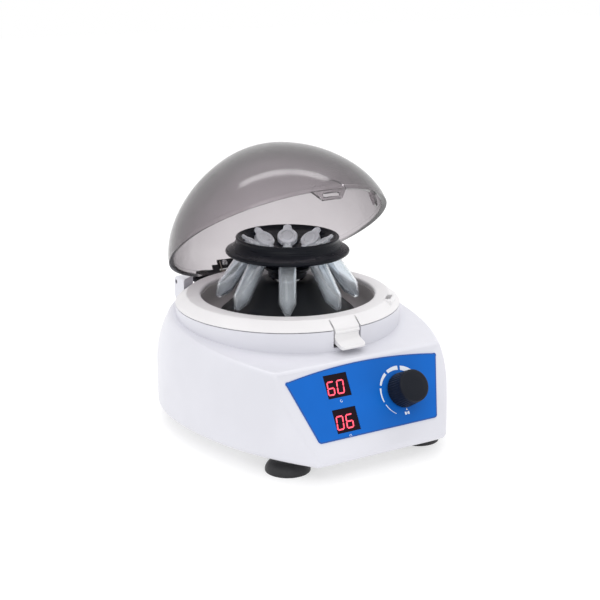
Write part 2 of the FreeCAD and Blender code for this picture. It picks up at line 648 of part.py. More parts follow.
def motor_cone_cover():
    """Black cone that shields the motor and its bracket inside the bowl."""
    return spun((9.4, 86.0), ((14.5, 86.4), (19.0, 84.6)), (33.6, 72.4), (40.2, 66.6),
                ((41.2, 65.4), (41.5, 64.0)), (41.5, BOWL_FLOOR), (39.4, BOWL_FLOOR), (39.4, 64.0),
                (32.2, 70.6), (17.8, 82.9),
                ((14.0, 84.4), (9.4, 84.2)))


# ---- panel, displays, knob ------------------------------------------------------------
def panel_overlay():
    """Printed film on the front facet: narrower at the foot, with an arched top edge."""
    low, high, arch = 38.8, 50.0, 4.0
    slant = 36.0
    side = (high - low) / slant
    film = slab((-low + 1.5, 0), (low - 1.5, 0), ((low - 0.2, 0.5), (low + side * 2, 2.0)),
                (high - side * 1.8, slant - 1.8), ((high - 0.3, slant - 0.2), (high - 1.9, slant + 0.2)),
                ((0, slant + arch), (-high + 1.9, slant + 0.2)),
                ((-high + 0.3, slant - 0.2), (-high + side * 1.8, slant - 1.8)),
                (-low - side * 2, 2.0), ((-low + 0.2, 0.5), (-low + 1.5, 0)), z=0.0, height=0.4)
    for v in (SPEED_V, TIME_V):
        film = film.cut(block(WINDOW_X - WINDOW_W / 2, WINDOW_X + WINDOW_W / 2,
                              v - WINDOW_H / 2, v + WINDOW_H / 2, -1, 1))
    film = film.cut(rod(6.4, 2, V(KNOB_X, KNOB_V, -1)))
    return on_panel(film)


def led_display(v):
    """Two-digit LED block standing in its window, with its pins."""
    body = block(-WINDOW_W / 2 + 0.1, WINDOW_W / 2 - 0.1, -WINDOW_H / 2 + 0.1, WINDOW_H / 2 - 0.1, -7.2, 0.1)
    pins = [rod(0.25, 3.4, V(-5.0 + 2.5 * k, side * 5.4, -10.2)) for k in range(5) for side in (-1, 1)]
    return on_panel(fused([body] + pins), WINDOW_X, v)


def display_board():
    """Board behind the facet that carries the displays and the encoder."""
    board = block(-31, 31, 1.5, 36.5, -8.8, -7.2)
    for v in (SPEED_V, TIME_V):
        for k in range(5):
            for side in (-1, 1):
                board = board.cut(rod(0.25, 6, V(WINDOW_X - 5.0 + 2.5 * k, v + side * 5.4, -11)))
    for x, v in board_screw_places():
        board = board.cut(rod(1.3, 6, V(x, v, -11)))
    return on_panel(board)


def board_screw_places():
    return [(-28.5, 19.4), (4.0, 34.0), (4.0, 4.0), (28.8, 34.4)]


def display_board_posts():
    """Four posts between the facet's inner face and the display board."""
    return group([on_panel(tube(2.8, 1.0, 7.2 - WALL, V(0, 0, -7.2)), x, v) for x, v in board_screw_places()])


def display_board_screws():
    screw = pan_screw(2.2, 1.5, 0.98, 5.0)
    screw.rotate(ORIGIN, V(1, 0, 0), 180)
    screw.translate(V(0, 0, -8.8))
    return group([on_panel(screw, x, v) for x, v in board_screw_places()])


def encoder_body():
    """Push encoder: square metal-clad body on the board and a threaded bush through the facet."""
    body = block(-6.2, 6.2, -6.2, 6.2, -7.2, -2.6)
    body = body.fuse(rod(3.4, 8.2, V(0, 0, -2.6)))
    inner = rod(1.9, 4.0, V(0, 0, -6.6)).fuse(rod(2.8, 2.6, V(0, 0, -6.6)))
    bore = rod(1.9, 12.4, V(0, 0, -4.2))
    return on_panel(body.cut(inner).cut(bore), KNOB_X, KNOB_V)


def encoder_rotor():
    """Wiper disc inside the encoder, turned by the shaft's flat."""
    disc = rod(2.7, 1.2, V(0, 0, -5.6)).cut(rod(1.1, 1.2, V(0, 0, -5.6)))
    return on_panel(disc, KNOB_X, KNOB_V)


def encoder_shaft():
    """Steel shaft with a thin tail through the wiper disc and a flat for the knob."""
    shaft = rod(1.85, 13.6, V(0, 0, -3.8)).fuse(rod(1.05, 2.0, V(0, 0, -5.8)))
    return on_panel(shaft, KNOB_X, KNOB_V)


def encoder_nut():
    nut = Part.Face(Part.makePolygon([polar(6.0, 60 * k, 0.0) for k in range(7)])).extrude(V(0, 0, 2.0))
    return on_panel(nut.cut(rod(3.42, 4, V(0, 0, 0))), KNOB_X, KNOB_V)


def control_knob():
    """Fluted knob with a slightly domed face, hollow over the encoder's nut."""
    top = 1.0 + KNOB_H
    knob = spun((0, top + 0.2), ((5.0, top + 0.05), (8.2, top - 0.5)), ((9.0, top - 0.9), (9.3, top - 1.7)),
                (KNOB_R, 1.6), (KNOB_R - 0.4, 1.2), (7.2, 1.2), (7.2, 6.4), (1.85, 6.4),
                (1.85, 9.8), (0, 9.8))
    flute = rod(0.9, KNOB_H, V(10.15, 0, 1.0), V(-0.05, 0, 1))
    for cut in ring_of(flute, 24):
        knob = knob.cut(cut)
    return on_panel(knob, KNOB_X, KNOB_V)


# ---- boards, inlet, switch, feet ---------------------------------------------------------
def control_board():
    """Motor drive board on four pillars beside the motor."""
    board = block(-59, -21, -26, 32, 18.4, 20.0)
    for x, y in board_pillars():
        board = board.cut(rod(1.6, 6, V(x, y, 16)))
    return board


def board_pillars():
    return [(-55, -22), (-25, -22), (-55, 28), (-25, 28)]


def board_standoffs():
    return group([tube(3.0, 1.2, 6.0, V(x, y, 12.4)) for x, y in board_pillars()])


def board_screws():
    return screws_at(pan_screw(2.6, 1.7, 1.18, 7.0), [V(x, y, 20.0) for x, y in board_pillars()])


def transformer():
    """Small mains transformer: laminated core with a wound bobbin on its middle leg."""
    x, y = -53.0, 4.0
    core = block(x, x + 22, y, y + 20, 20.0, 38.0)
    for a in (3.5, 13.0):
        core = core.cut(block(x + a, x + a + 5.5, y - 1, y + 21, 24.0, 34.0))
    coil = block(x + 3.6, x + 18.4, y - 2.5, y + 22.5, 24.1, 33.9)
    coil = coil.makeFillet(1.5, [e for e in coil.Edges if e.BoundBox.ZLength > 9])
    return core.fuse(coil.cut(core))


def board_parts():
    """Capacitors, heat sink and terminal block on the drive board."""
    cans = [rod(4.0, 14.0, V(-49 + 9.5 * k, -16, 20.0)) for k in range(2)]
    cans = [c.makeFillet(0.8, [c.Edges[0]]) for c in cans]
    sink = block(-55, -33, -7, -4.5, 20.0, 36.0)
    fins = [block(-54.5 + 4.3 * k, -53.2 + 4.3 * k, -4.6, 0.8, 20.0, 36.0) for k in range(6)]
    terminal = block(-29, -23, -12, 10, 20.0, 28.0)
    for k in range(4):
        terminal = terminal.cut(rod(1.6, 4, V(-26, -9.2 + 5.5 * k, 26)))
    return group(cans + [fused([sink] + fins), terminal])


def power_inlet():
    """Three-pin appliance inlet, flange outside the recess and body inside."""
    x, z, y = INLET_X, REAR_MID_Z, REAR_FLAT_Y
    flange = block(x - 15.2, x + 15.2, y, y + 2.2, z - 11.2, z + 11.2)
    flange = flange.makeFillet(2.0, [e for e in flange.Edges if e.BoundBox.YLength > 2])
    body = block(x - 13.4, x + 13.4, y - 16, y, z - 9.7, z + 9.7)
    mouth = face_of((x - 11.8, z - 8.0), [(x + 11.8, z - 8.0), (x + 11.8, z + 4.0), (x + 8.0, z + 8.0),
                                          (x - 8.0, z + 8.0), (x - 11.8, z + 4.0)],
                    lambda a, b: V(a, y + 3, b)).extrude(V(0, -15.5, 0))
    whole = flange.fuse(body).cut(mouth)
    pins = [block(x + a - 1, x + a + 1, y - 13.0, y - 0.4, z + b - 2.2, z + b + 2.2)
            for a, b in ((-7, -0.8), (0, 0.6), (7, -0.8))]
    return fused([whole] + pins)


def rocker_frame():
    """Snap-in frame of the mains switch, with the two pivots' seats."""
    x, z, y = SWITCH_X, REAR_MID_Z, REAR_FLAT_Y
    frame = block(x - 10.6, x + 10.6, y, y + 1.6, z - 7.6, z + 7.6)
    frame = frame.makeFillet(1.2, [e for e in frame.Edges if e.BoundBox.YLength > 1.5])
    body = block(x - 9.2, x + 9.2, y - 15, y, z - 6.2, z + 6.2)
    well = block(x - 8.2, x + 8.2, y - 6.5, y + 3, z - 5.2, z + 5.2)
    seat = rod(1.25, 2 * 6.0, V(x, y - 1.0, z - 6.0))
    blades = [block(x + a - 0.4, x + a + 0.4, y - 22, y - 15, z - 2.4, z + 2.4) for a in (-6, 6)]
    return fused([frame, body] + blades).cut(well).cut(seat)


def power_rocker():
    """Rocker with two flat faces that meet in a shallow vee, tilted to off at rest."""
    x, z, y = SWITCH_X, REAR_MID_Z, REAR_FLAT_Y
    face = face_of((-7.9, 1.6), [((-7.6, -1.8), (-6.4, -3.6)), (6.4, -3.6), ((7.6, -1.8), (7.9, 1.6)),
                                 ((4.0, 0.9), (0, 1.5)), ((-4.0, 0.9), (-7.9, 1.6))],
                   lambda a, b: V(x + a, y - 1.0 + b, z - 5.0))
    body = face.extrude(V(0, 0, 10.0))
    pin = rod(1.2, 11.8, V(x, y - 1.0, z - 5.9))
    whole = body.fuse(pin)
    whole.rotate(V(x, y - 1.0, z), UP, 9.0)
    return whole


def foot_places():
    return [(-FOOT_X, FOOT_FRONT_Y), (FOOT_X, FOOT_FRONT_Y), (-FOOT_X, FOOT_REAR_Y), (FOOT_X, FOOT_REAR_Y)]


def suction_foot(x, y):
    """Rubber suction cup: thin flared skirt, waist, and a head against the base plate."""
    foot = spun((FOOT_R, 0.0), (FOOT_R, 0.9), ((FOOT_R - 1.6, 3.9), (8.4, 5.6)), (7.6, 6.4), (7.6, 10.4),
                (2.0, 10.4), (2.0, 3.4), ((6.6, 2.8), (10.8, 0.0)))
    foot.translate(V(x, y, 0))
    return foot


def foot_screws():
    screw = pan_screw(3.4, 2.0, 1.96, 6.9)
    return screws_at(screw, [V(x, y, 12.4) for x, y in foot_places()])


def base_screws():
    screw = pan_screw(2.9, 1.8, 1.18, 14.0)
    return screws_at(screw, [V(p.x, p.y, 10.4) for p in base_screw_places()], flip=True)


def lid_hinge_screws():
    screw = pan_screw(2.2, 1.2, 0.96, 2.5)
    return group([placed(screw, V(x, LEAF_Y, z), V(1, 0, 0), 90) for x, z in leaf_screw_places()])


def motor_screws():
    return screws_at(pan_screw(2.6, 1.7, 1.23, 6.5), [p + V(0, 0, 1.6) for p in motor_screw_places()])


def damper_screws():
    screw = pan_screw(2.9, 1.8, 1.58, 10.0)
    return screws_at(screw, [V(p.x, p.y, 50.0) for p in damper_places()], flip=True)


# ---- all sub-parts -------------------------------------------------------------------
def all_parts():
    parts = {
        "upper_housing": upper_housing(),
        "base_plate": base_plate(),
        "seat_ring": seat_ring(),
        "rotor_bowl": rotor_bowl(),
        "latch_finger": latch_finger(),
        "hinge_pin": hinge_pin(),
        "lid_dome": swung(lid_dome()),
        "lid_hinge_leaf": swung(lid_hinge_leaf()),
        "lid_hinge_screws": swung(lid_hinge_screws()),
        "lid_spring": swung(lid_spring()),
        "interlock_tongue": swung(interlock_tongue()),
        "interlock_sensor": interlock_sensor(),
        "rotor": rotor(),
        "rotor_nut": rotor_nut(),
        "spindle": spindle(),
        "motor_shaft": motor_shaft(),
        "motor_can": motor_can(),
        "motor_end_cap": motor_end_cap(),
        "motor_bracket": motor_bracket(),
        "motor_screws": motor_screws(),
        "motor_dampers": motor_dampers(),
        "damper_screws": damper_screws(),
        "motor_cone_cover": motor_cone_cover(),
        "panel_overlay": panel_overlay(),
        "speed_display": led_display(SPEED_V),
        "time_display": led_display(TIME_V),
        "display_board": display_board(),
        "display_board_posts": display_board_posts(),
        "display_board_screws": display_board_screws(),
        "control_knob": control_knob(),
        "encoder_body": encoder_body(),
        "encoder_rotor": encoder_rotor(),
        "encoder_shaft": encoder_shaft(),
        "encoder_nut": encoder_nut(),
        "control_board": control_board(),
        "board_standoffs": board_standoffs(),
        "board_screws": board_screws(),
        "board_parts": board_parts(),
        "transformer": transformer(),
        "power_inlet": power_inlet(),
        "rocker_frame": rocker_frame(),
        "power_rocker": power_rocker(),
        "foot_screws": foot_screws(),
        "base_screws": base_screws(),
    }
    for k, shape in enumerate(ring_of(sample_tube(), TUBE_COUNT, TUBE_FIRST)):
        parts["sample_tube_%d" % (k + 1)] = shape
    names = ("foot_front_left", "foot_front_right", "foot_rear_left", "foot_rear_right")
    for name, (x, y) in zip(names, foot_places()):
        parts[name] = suction_foot(x, y)
    return parts


os.makedirs("parts", exist_ok=True)
for name, shape in all_parts().items():
    if not shape.isValid() or shape.Volume <= 0:
        raise ValueError("unsound shape: " + name)
    shape.exportStep("parts/%s.step" % name)
    print("%-22s solids %2d  volume %10.1f" % (name, len(shape.Solids), shape.Volume))
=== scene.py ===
import json
import math

import bmesh
import bpy
from mathutils import Matrix, Vector


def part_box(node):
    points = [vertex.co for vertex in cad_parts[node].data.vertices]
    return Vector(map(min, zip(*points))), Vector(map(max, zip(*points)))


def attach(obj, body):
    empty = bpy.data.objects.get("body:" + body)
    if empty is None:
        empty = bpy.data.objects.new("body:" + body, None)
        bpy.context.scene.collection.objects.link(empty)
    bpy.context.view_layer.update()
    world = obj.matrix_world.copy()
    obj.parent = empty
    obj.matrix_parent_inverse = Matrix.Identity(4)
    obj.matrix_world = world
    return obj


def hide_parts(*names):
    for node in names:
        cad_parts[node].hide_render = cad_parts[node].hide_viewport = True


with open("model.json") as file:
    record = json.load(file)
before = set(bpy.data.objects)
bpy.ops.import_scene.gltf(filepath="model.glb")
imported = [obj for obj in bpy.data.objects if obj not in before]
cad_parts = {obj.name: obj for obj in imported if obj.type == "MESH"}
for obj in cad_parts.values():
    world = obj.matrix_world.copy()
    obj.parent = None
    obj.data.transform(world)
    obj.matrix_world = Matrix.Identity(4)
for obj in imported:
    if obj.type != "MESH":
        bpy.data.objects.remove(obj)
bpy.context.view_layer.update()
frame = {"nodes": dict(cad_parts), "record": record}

bl_info = {
    "name": "Mini Centrifuge Finish",
    "version": (1, 0, 0),
    "blender": (4, 5, 0),
    "location": "3D View > Sidebar > Centrifuge",
    "description": "Finishes of a bench-top mini centrifuge, its panel print, digits and knob, and the stage",
    "category": "Object",
}

MM = 0.001
LEAN = math.radians(30)                   # the panel's lean back from upright
TUBE_LEAN = math.radians(35)              # the tubes' lean out from the rotor's axis
KNOB_SPOT = (20.8 * MM, 19.0 * MM)        # across the panel and up its slope
WINDOW_ACROSS = -19.0                     # middle of both displays on the panel, in millimetres


# ---- settings a user would change --------------------------------------------
def colour(name, text, default):
    return bpy.props.FloatVectorProperty(name=name, description=text, default=default,
                                         subtype="COLOR", size=3, min=0, max=1)


def length(name, text, default):
    return bpy.props.FloatProperty(name=name, description=text, default=default,
                                   unit="LENGTH", subtype="DISTANCE", precision=5)


class CentrifugeColours(bpy.types.PropertyGroup):
    casing: colour("Casing", "Moulded outer casing", (0.70, 0.70, 0.755))
    ring: colour("Seat ring", "Ring round the rotor chamber and the latch", (0.81, 0.80, 0.81))
    bowl: colour("Chamber", "Wall and floor of the rotor chamber", (0.45, 0.43, 0.43))
    smoke: colour("Lid tint", "Smoked lid, as seen through one wall", (0.585, 0.55, 0.57))
    panel: colour("Panel film", "Printed film on the front facet", (0.006, 0.135, 0.56))
    digits: colour("Digits", "Glowing segments of the displays", (1.0, 0.035, 0.09))
    rotor: colour("Rotor", "Anodised rotor and its nut", (0.004, 0.005, 0.009))
    tube: colour("Tubes", "Clear tubes, as seen through one wall", (0.92, 0.96, 1.0))


class CentrifugeSizes(bpy.types.PropertyGroup):
    edge: length("Edge rounding", "Small rounding of moulded edges", 0.00025)
    flutes: bpy.props.IntProperty(name="Knob flutes", description="Flutes round the knob",
                                  default=40, min=6)
    flute_depth: length("Flute depth", "Depth of the knob's flutes", 0.00022)
    print_height: length("Print height", "How far the print stands on the film", 0.00004)
    dial_radius: length("Dial radius", "Outer radius of the marks round the knob", 0.0143)
    digit_height: length("Digit height", "Height of a digit on the displays", 0.0079)


class CentrifugeCamera(bpy.types.PropertyGroup):
    azimuth: bpy.props.FloatProperty(name="Azimuth", description="Camera's direction about the rotor's axis",
                                     default=math.radians(-30.53), subtype="ANGLE")
    elevation: bpy.props.FloatProperty(name="Elevation", description="Camera's height above the horizon",
                                       default=math.radians(16.24), subtype="ANGLE")
    distance: length("Distance", "From the camera to the point it looks at", 0.755)
    focal: bpy.props.FloatProperty(name="Focal length", description="In millimetres, on a 36 mm sensor",
                                   default=74.52)
    aim_right: length("Aim to the right", "Aim point, across the view from the rotor's axis", 0.00752)
    aim_height: length("Aim height", "Aim point above the desk", 0.0722)


# ---- node trees ----------------------------------------------------------------
class Graph:
    """Adds nodes to a tree and joins them; an input takes a value or another node's socket."""

    def __init__(self, tree):
        self.tree = tree

    def add(self, kind, settings=None, **inputs):
        node = self.tree.nodes.new(kind)
        for key, value in (settings or {}).items():
            setattr(node, key, value)
        for key, value in inputs.items():
            name = int(key[1:]) if key[0] == "i" and key[1:].isdigit() else key.replace("_", " ")
            self.feed(node.inputs[name], value)
        return node

    def feed(self, socket, value):
        if isinstance(value, bpy.types.NodeSocket):
            self.tree.links.new(value, socket)
        else:
            socket.default_value = value

    def math(self, operation, a, b=0.0, c=0.0, clamp=False):
        node = self.add("ShaderNodeMath", {"operation": operation, "use_clamp": clamp}, i0=a, i1=b, i2=c)
        return node.outputs[0]

    def mix(self, share, a, b):
        node = self.add("ShaderNodeMix", {"data_type": "RGBA"}, i0=share, i6=a, i7=b)
        return node.outputs[2]

    def span(self, value, low, high, to_low=0.0, to_high=1.0):
        node = self.add("ShaderNodeMapRange", i0=value, i1=low, i2=high, i3=to_low, i4=to_high)
        return node.outputs[0]

    def noise(self, scale, detail=2.0, vector=None, rough=0.5):
        if vector is None:
            vector = self.add("ShaderNodeTexCoord").outputs["Object"]
        node = self.add("ShaderNodeTexNoise", Vector=vector, Scale=scale, Detail=detail, Roughness=rough)
        return node.outputs[0]

    def stretched(self, scale):
        place = self.add("ShaderNodeTexCoord").outputs["Object"]
        return self.add("ShaderNodeMapping", Vector=place, Scale=scale).outputs[0]


def shared_group(name, inputs, outputs, build):
    """Shader node group with named sockets; built once and then found by its name."""
    group = bpy.data.node_groups.get(name)
    if group:
        return group
    group = bpy.data.node_groups.new(name, "ShaderNodeTree")
    for label, kind, default in inputs:
        made = group.interface.new_socket(name=label, in_out="INPUT", socket_type=kind)
        made.default_value = default
    for label, kind in outputs:
        group.interface.new_socket(name=label, in_out="OUTPUT", socket_type=kind)
    graph = Graph(group)
    entry = graph.add("NodeGroupInput")
    leave = graph.add("NodeGroupOutput")
    for label, value in build(graph, entry.outputs).items():
        graph.feed(leave.inputs[label], value)
    return group


FLOAT, RGB = "NodeSocketFloat", "NodeSocketColor"


def moulded_grain():
    """Spark-eroded texture with slow drifts of colour and gloss, as on moulded plastic."""
    def build(g, put):
        slow = g.noise(22.0, 3.0)
        mid = g.noise(140.0, 2.0)
        fine = g.noise(put["Grain Scale"], 3.0)
        drift = g.math("MULTIPLY", g.span(slow, 0.35, 0.65), put["Drift"])
        tone = g.mix(drift, put["Colour"], put["Drift Colour"])
        rough = g.math("MULTIPLY_ADD", g.math("SUBTRACT", mid, 0.5), put["Gloss Drift"], put["Roughness"])
        grain = g.math("MULTIPLY_ADD", g.math("SUBTRACT", fine, 0.5), put["Gloss Drift"], rough)
        return {"Colour": tone, "Roughness": grain, "Height": fine}
    return shared_group("moulded_grain", [
        ("Colour", RGB, (0.8, 0.8, 0.8, 1)), ("Drift Colour", RGB, (0.7, 0.7, 0.7, 1)), ("Drift", FLOAT, 0.5),
        ("Grain Scale", FLOAT, 2500.0), ("Roughness", FLOAT, 0.4), ("Gloss Drift", FLOAT, 0.1)],
        [("Colour", RGB), ("Roughness", FLOAT), ("Height", FLOAT)], build)


def rubbed_edges():
    """Mask that is high where an edge has been rubbed by handling."""
    def build(g, put):
        bevel = g.add("ShaderNodeBevel", {"samples": 4}, Radius=put["Width"]).outputs[0]
        true = g.add("ShaderNodeNewGeometry").outputs["Normal"]
        dot = g.add("ShaderNodeVectorMath", {"operation": "DOT_PRODUCT"}, i0=bevel, i1=true).outputs["Value"]
        bend = g.span(g.math("SUBTRACT", 1.0, dot), 0.01, 0.22)
        patchy = g.span(g.noise(260.0, 4.0), 0.38, 0.62)
        worn = g.math("MULTIPLY", g.math("MULTIPLY", bend, patchy), put["Amount"], clamp=True)
        return {"Mask": worn}
    return shared_group("rubbed_edges", [("Width", FLOAT, 0.0006), ("Amount", FLOAT, 0.5)],
                        [("Mask", FLOAT)], build)


def settled_dust():
    """Mask of the thin dust that lies on faces that look up."""
    def build(g, put):
        normal = g.add("ShaderNodeNewGeometry").outputs["Normal"]
        up = g.add("ShaderNodeSeparateXYZ", i0=normal).outputs["Z"]
        lying = g.span(up, 0.3, 1.0)
        cloud = g.span(g.noise(60.0, 5.0, rough=0.65), 0.35, 0.75)
        return {"Mask": g.math("MULTIPLY", g.math("MULTIPLY", lying, cloud), put["Amount"], clamp=True)}
    return shared_group("settled_dust", [("Amount", FLOAT, 0.2)], [("Mask", FLOAT)], build)


FINISH = "finish_"            # sets the finishes apart from the plain materials that come with the frame


class Finish(Graph):
    """A material: its tree, its Principled shader and its output."""

    def __init__(self, name, **values):
        self.material = bpy.data.materials.new(FINISH + name)
        self.material.use_nodes = True
        super().__init__(self.material.node_tree)
        self.tree.nodes.clear()
        self.out = self.add("ShaderNodeOutputMaterial")
        self.shader = self.add("ShaderNodeBsdfPrincipled")
        self.tree.links.new(self.shader.outputs[0], self.out.inputs[0])
        for key, value in values.items():
            self.feed(self.shader.inputs[key.replace("_", " ")], value)

    def group(self, tree, **inputs):
        return self.add("ShaderNodeGroup", {"node_tree": tree}, **inputs)

    def set(self, name, value):
        self.feed(self.shader.inputs[name], value)

    def bump(self, height, distance, strength):
        node = self.add("ShaderNodeBump", Height=height, Distance=distance, Strength=strength)
        self.set("Normal", node.outputs[0])


def rgba(value, scale=1.0):
    return (value[0] * scale, value[1] * scale, value[2] * scale, 1.0)


def plastic(name, tone, rough, grain=2600.0, relief=0.00002, dust=0.25, wear=0.35, worn_tone=None, **values):
    """Moulded plastic: grain, slow drifts, rubbed edges and a little dust."""
    f = Finish(name, **values)
    base = f.group(moulded_grain(), Colour=rgba(tone), Drift_Colour=rgba(tone, 0.9), Drift=0.5,
                   Grain_Scale=grain, Roughness=rough, Gloss_Drift=0.12)
    edge = f.group(rubbed_edges(), Width=0.0007, Amount=wear).outputs["Mask"]
    lying = f.group(settled_dust(), Amount=dust).outputs["Mask"]
    worn = rgba(worn_tone) if worn_tone else rgba([min(1.0, c * 1.06 + 0.02) for c in tone])
    toned = f.mix(edge, base.outputs["Colour"], worn)
    f.set("Base Color", f.mix(lying, toned, rgba([c * 0.82 + 0.05 for c in tone])))
    smoother = f.math("SUBTRACT", base.outputs["Roughness"], f.math("MULTIPLY", edge, 0.12))
    f.set("Roughness", f.math("ADD", smoother, f.math("MULTIPLY", lying, 0.25), clamp=True))
    f.bump(base.outputs["Height"], relief, 0.6)
    return f.material


def metal(name, tone, rough, lines=(60.0, 60.0, 2600.0), wear=0.4, metallic=1.0, **values):
    """Worked metal: fine tool lines, cloudy gloss and brighter rubbed edges."""
    f = Finish(name, Metallic=metallic, **values)
    trace = f.noise(1.0, 3.0, f.stretched(lines))
    cloud = f.noise(90.0, 3.0)
    edge = f.group(rubbed_edges(), Width=0.0005, Amount=wear).outputs["Mask"]
    toned = f.mix(f.span(cloud, 0.3, 0.7), rgba(tone), rgba(tone, 0.82))
    bright = rgba([min(1.0, c * 1.5 + 0.05) for c in tone])
    f.set("Base Color", f.mix(edge, toned, bright))
    level = f.math("MULTIPLY_ADD", f.math("SUBTRACT", trace, 0.5), 0.25, rough)
    patchy = f.math("MULTIPLY", f.math("SUBTRACT", cloud, 0.5), 0.12)
    f.set("Roughness", f.math("ADD", level, patchy, clamp=True))
    f.bump(trace, 0.00001, 0.5)
    return f.material


def clear(name, tint, rough, ior, grain=900.0, relief=0.00001, passes=1.0, edge=0.0):
    """Clear plastic that lets lamps through; less of it passes where it is milky or seen edge-on."""
    f = Finish(name, Transmission_Weight=passes, IOR=ior)
    fine = f.noise(grain, 3.0)
    slow = f.noise(45.0, 3.0)
    tone = f.mix(f.span(slow, 0.35, 0.65), rgba(tint), rgba(tint, 0.965))
    slant = f.add("ShaderNodeLayerWeight", Blend=0.5).outputs["Facing"]
    share = f.math("MULTIPLY", f.math("POWER", slant, 1.2), edge, clamp=True)
    f.set("Base Color", f.mix(share, tone, rgba(tint, 0.12)))
    f.set("Roughness", f.math("MULTIPLY_ADD", f.span(slow, 0.4, 0.7), 0.05, rough))
    f.bump(fine, relief, 0.35)
    open_way = f.add("ShaderNodeBsdfTransparent", Color=rgba(tint, 0.9))
    path = f.add("ShaderNodeLightPath")
    swap = f.add("ShaderNodeMixShader", i0=path.outputs["Is Shadow Ray"], i1=f.shader.outputs[0],
                 i2=open_way.outputs[0])
    f.tree.links.new(swap.outputs[0], f.out.inputs[0])
    return f.material


def glow(name, tone, strength):
    """Lit display segment: its colour and glow brighter in soft patches."""
    f = Finish(name, Roughness=0.4, Emission_Strength=strength)
    patch = f.span(f.noise(1400.0, 2.0), 0.3, 0.7)
    f.set("Base Color", f.mix(patch, rgba(tone), rgba(tone, 0.8)))
    f.set("Emission Color", f.mix(patch, rgba(tone), rgba([min(1.0, c + 0.16) for c in tone])))
    return f.material


def film(name, tone):
    """Back-printed film: even blue with a slight roll of tone and soft scuffs."""
    f = Finish(name, Specular_IOR_Level=0.12)
    slow = f.noise(30.0, 2.0)
    fine = f.noise(3200.0, 2.0)
    scuff = f.noise(1.0, 4.0, f.stretched((900.0, 120.0, 260.0)))
    f.set("Base Color", f.mix(f.span(slow, 0.3, 0.7), rgba(tone), rgba(tone, 0.86)))
    level = f.span(scuff, 0.35, 0.75, 0.32, 0.46)
    f.set("Roughness", level)
    f.bump(fine, 0.000012, 0.5)
    return f.material


def rubber(name, tone):
    """Soft black rubber with bloom where it looks up."""
    f = Finish(name, Sheen_Weight=0.15, Sheen_Roughness=0.5)
    fine = f.noise(1800.0, 4.0)
    lying = f.group(settled_dust(), Amount=0.35).outputs["Mask"]
    f.set("Base Color", f.mix(lying, rgba(tone), rgba([c + 0.09 for c in tone])))
    f.set("Roughness", f.span(fine, 0.3, 0.7, 0.5, 0.72))
    f.bump(fine, 0.00003, 0.6)
    return f.material


def board(name, tone):
    """Circuit board: solder mask over faint copper tracks."""
    f = Finish(name, Coat_Weight=0.3, Coat_Roughness=0.2)
    tracks = f.add("ShaderNodeTexBrick", {"offset": 0.5}, Vector=f.stretched((1, 1, 1)),
                   Scale=160.0, Mortar_Size=0.05, Color1=rgba(tone), Color2=rgba(tone, 0.8),
                   Mortar=rgba([c * 1.7 + 0.01 for c in tone]))
    f.set("Base Color", tracks.outputs[0])
    f.set("Roughness", f.span(f.noise(400.0), 0.3, 0.7, 0.35, 0.55))
    f.bump(tracks.outputs[1], 0.00004, 0.4)
    return f.material


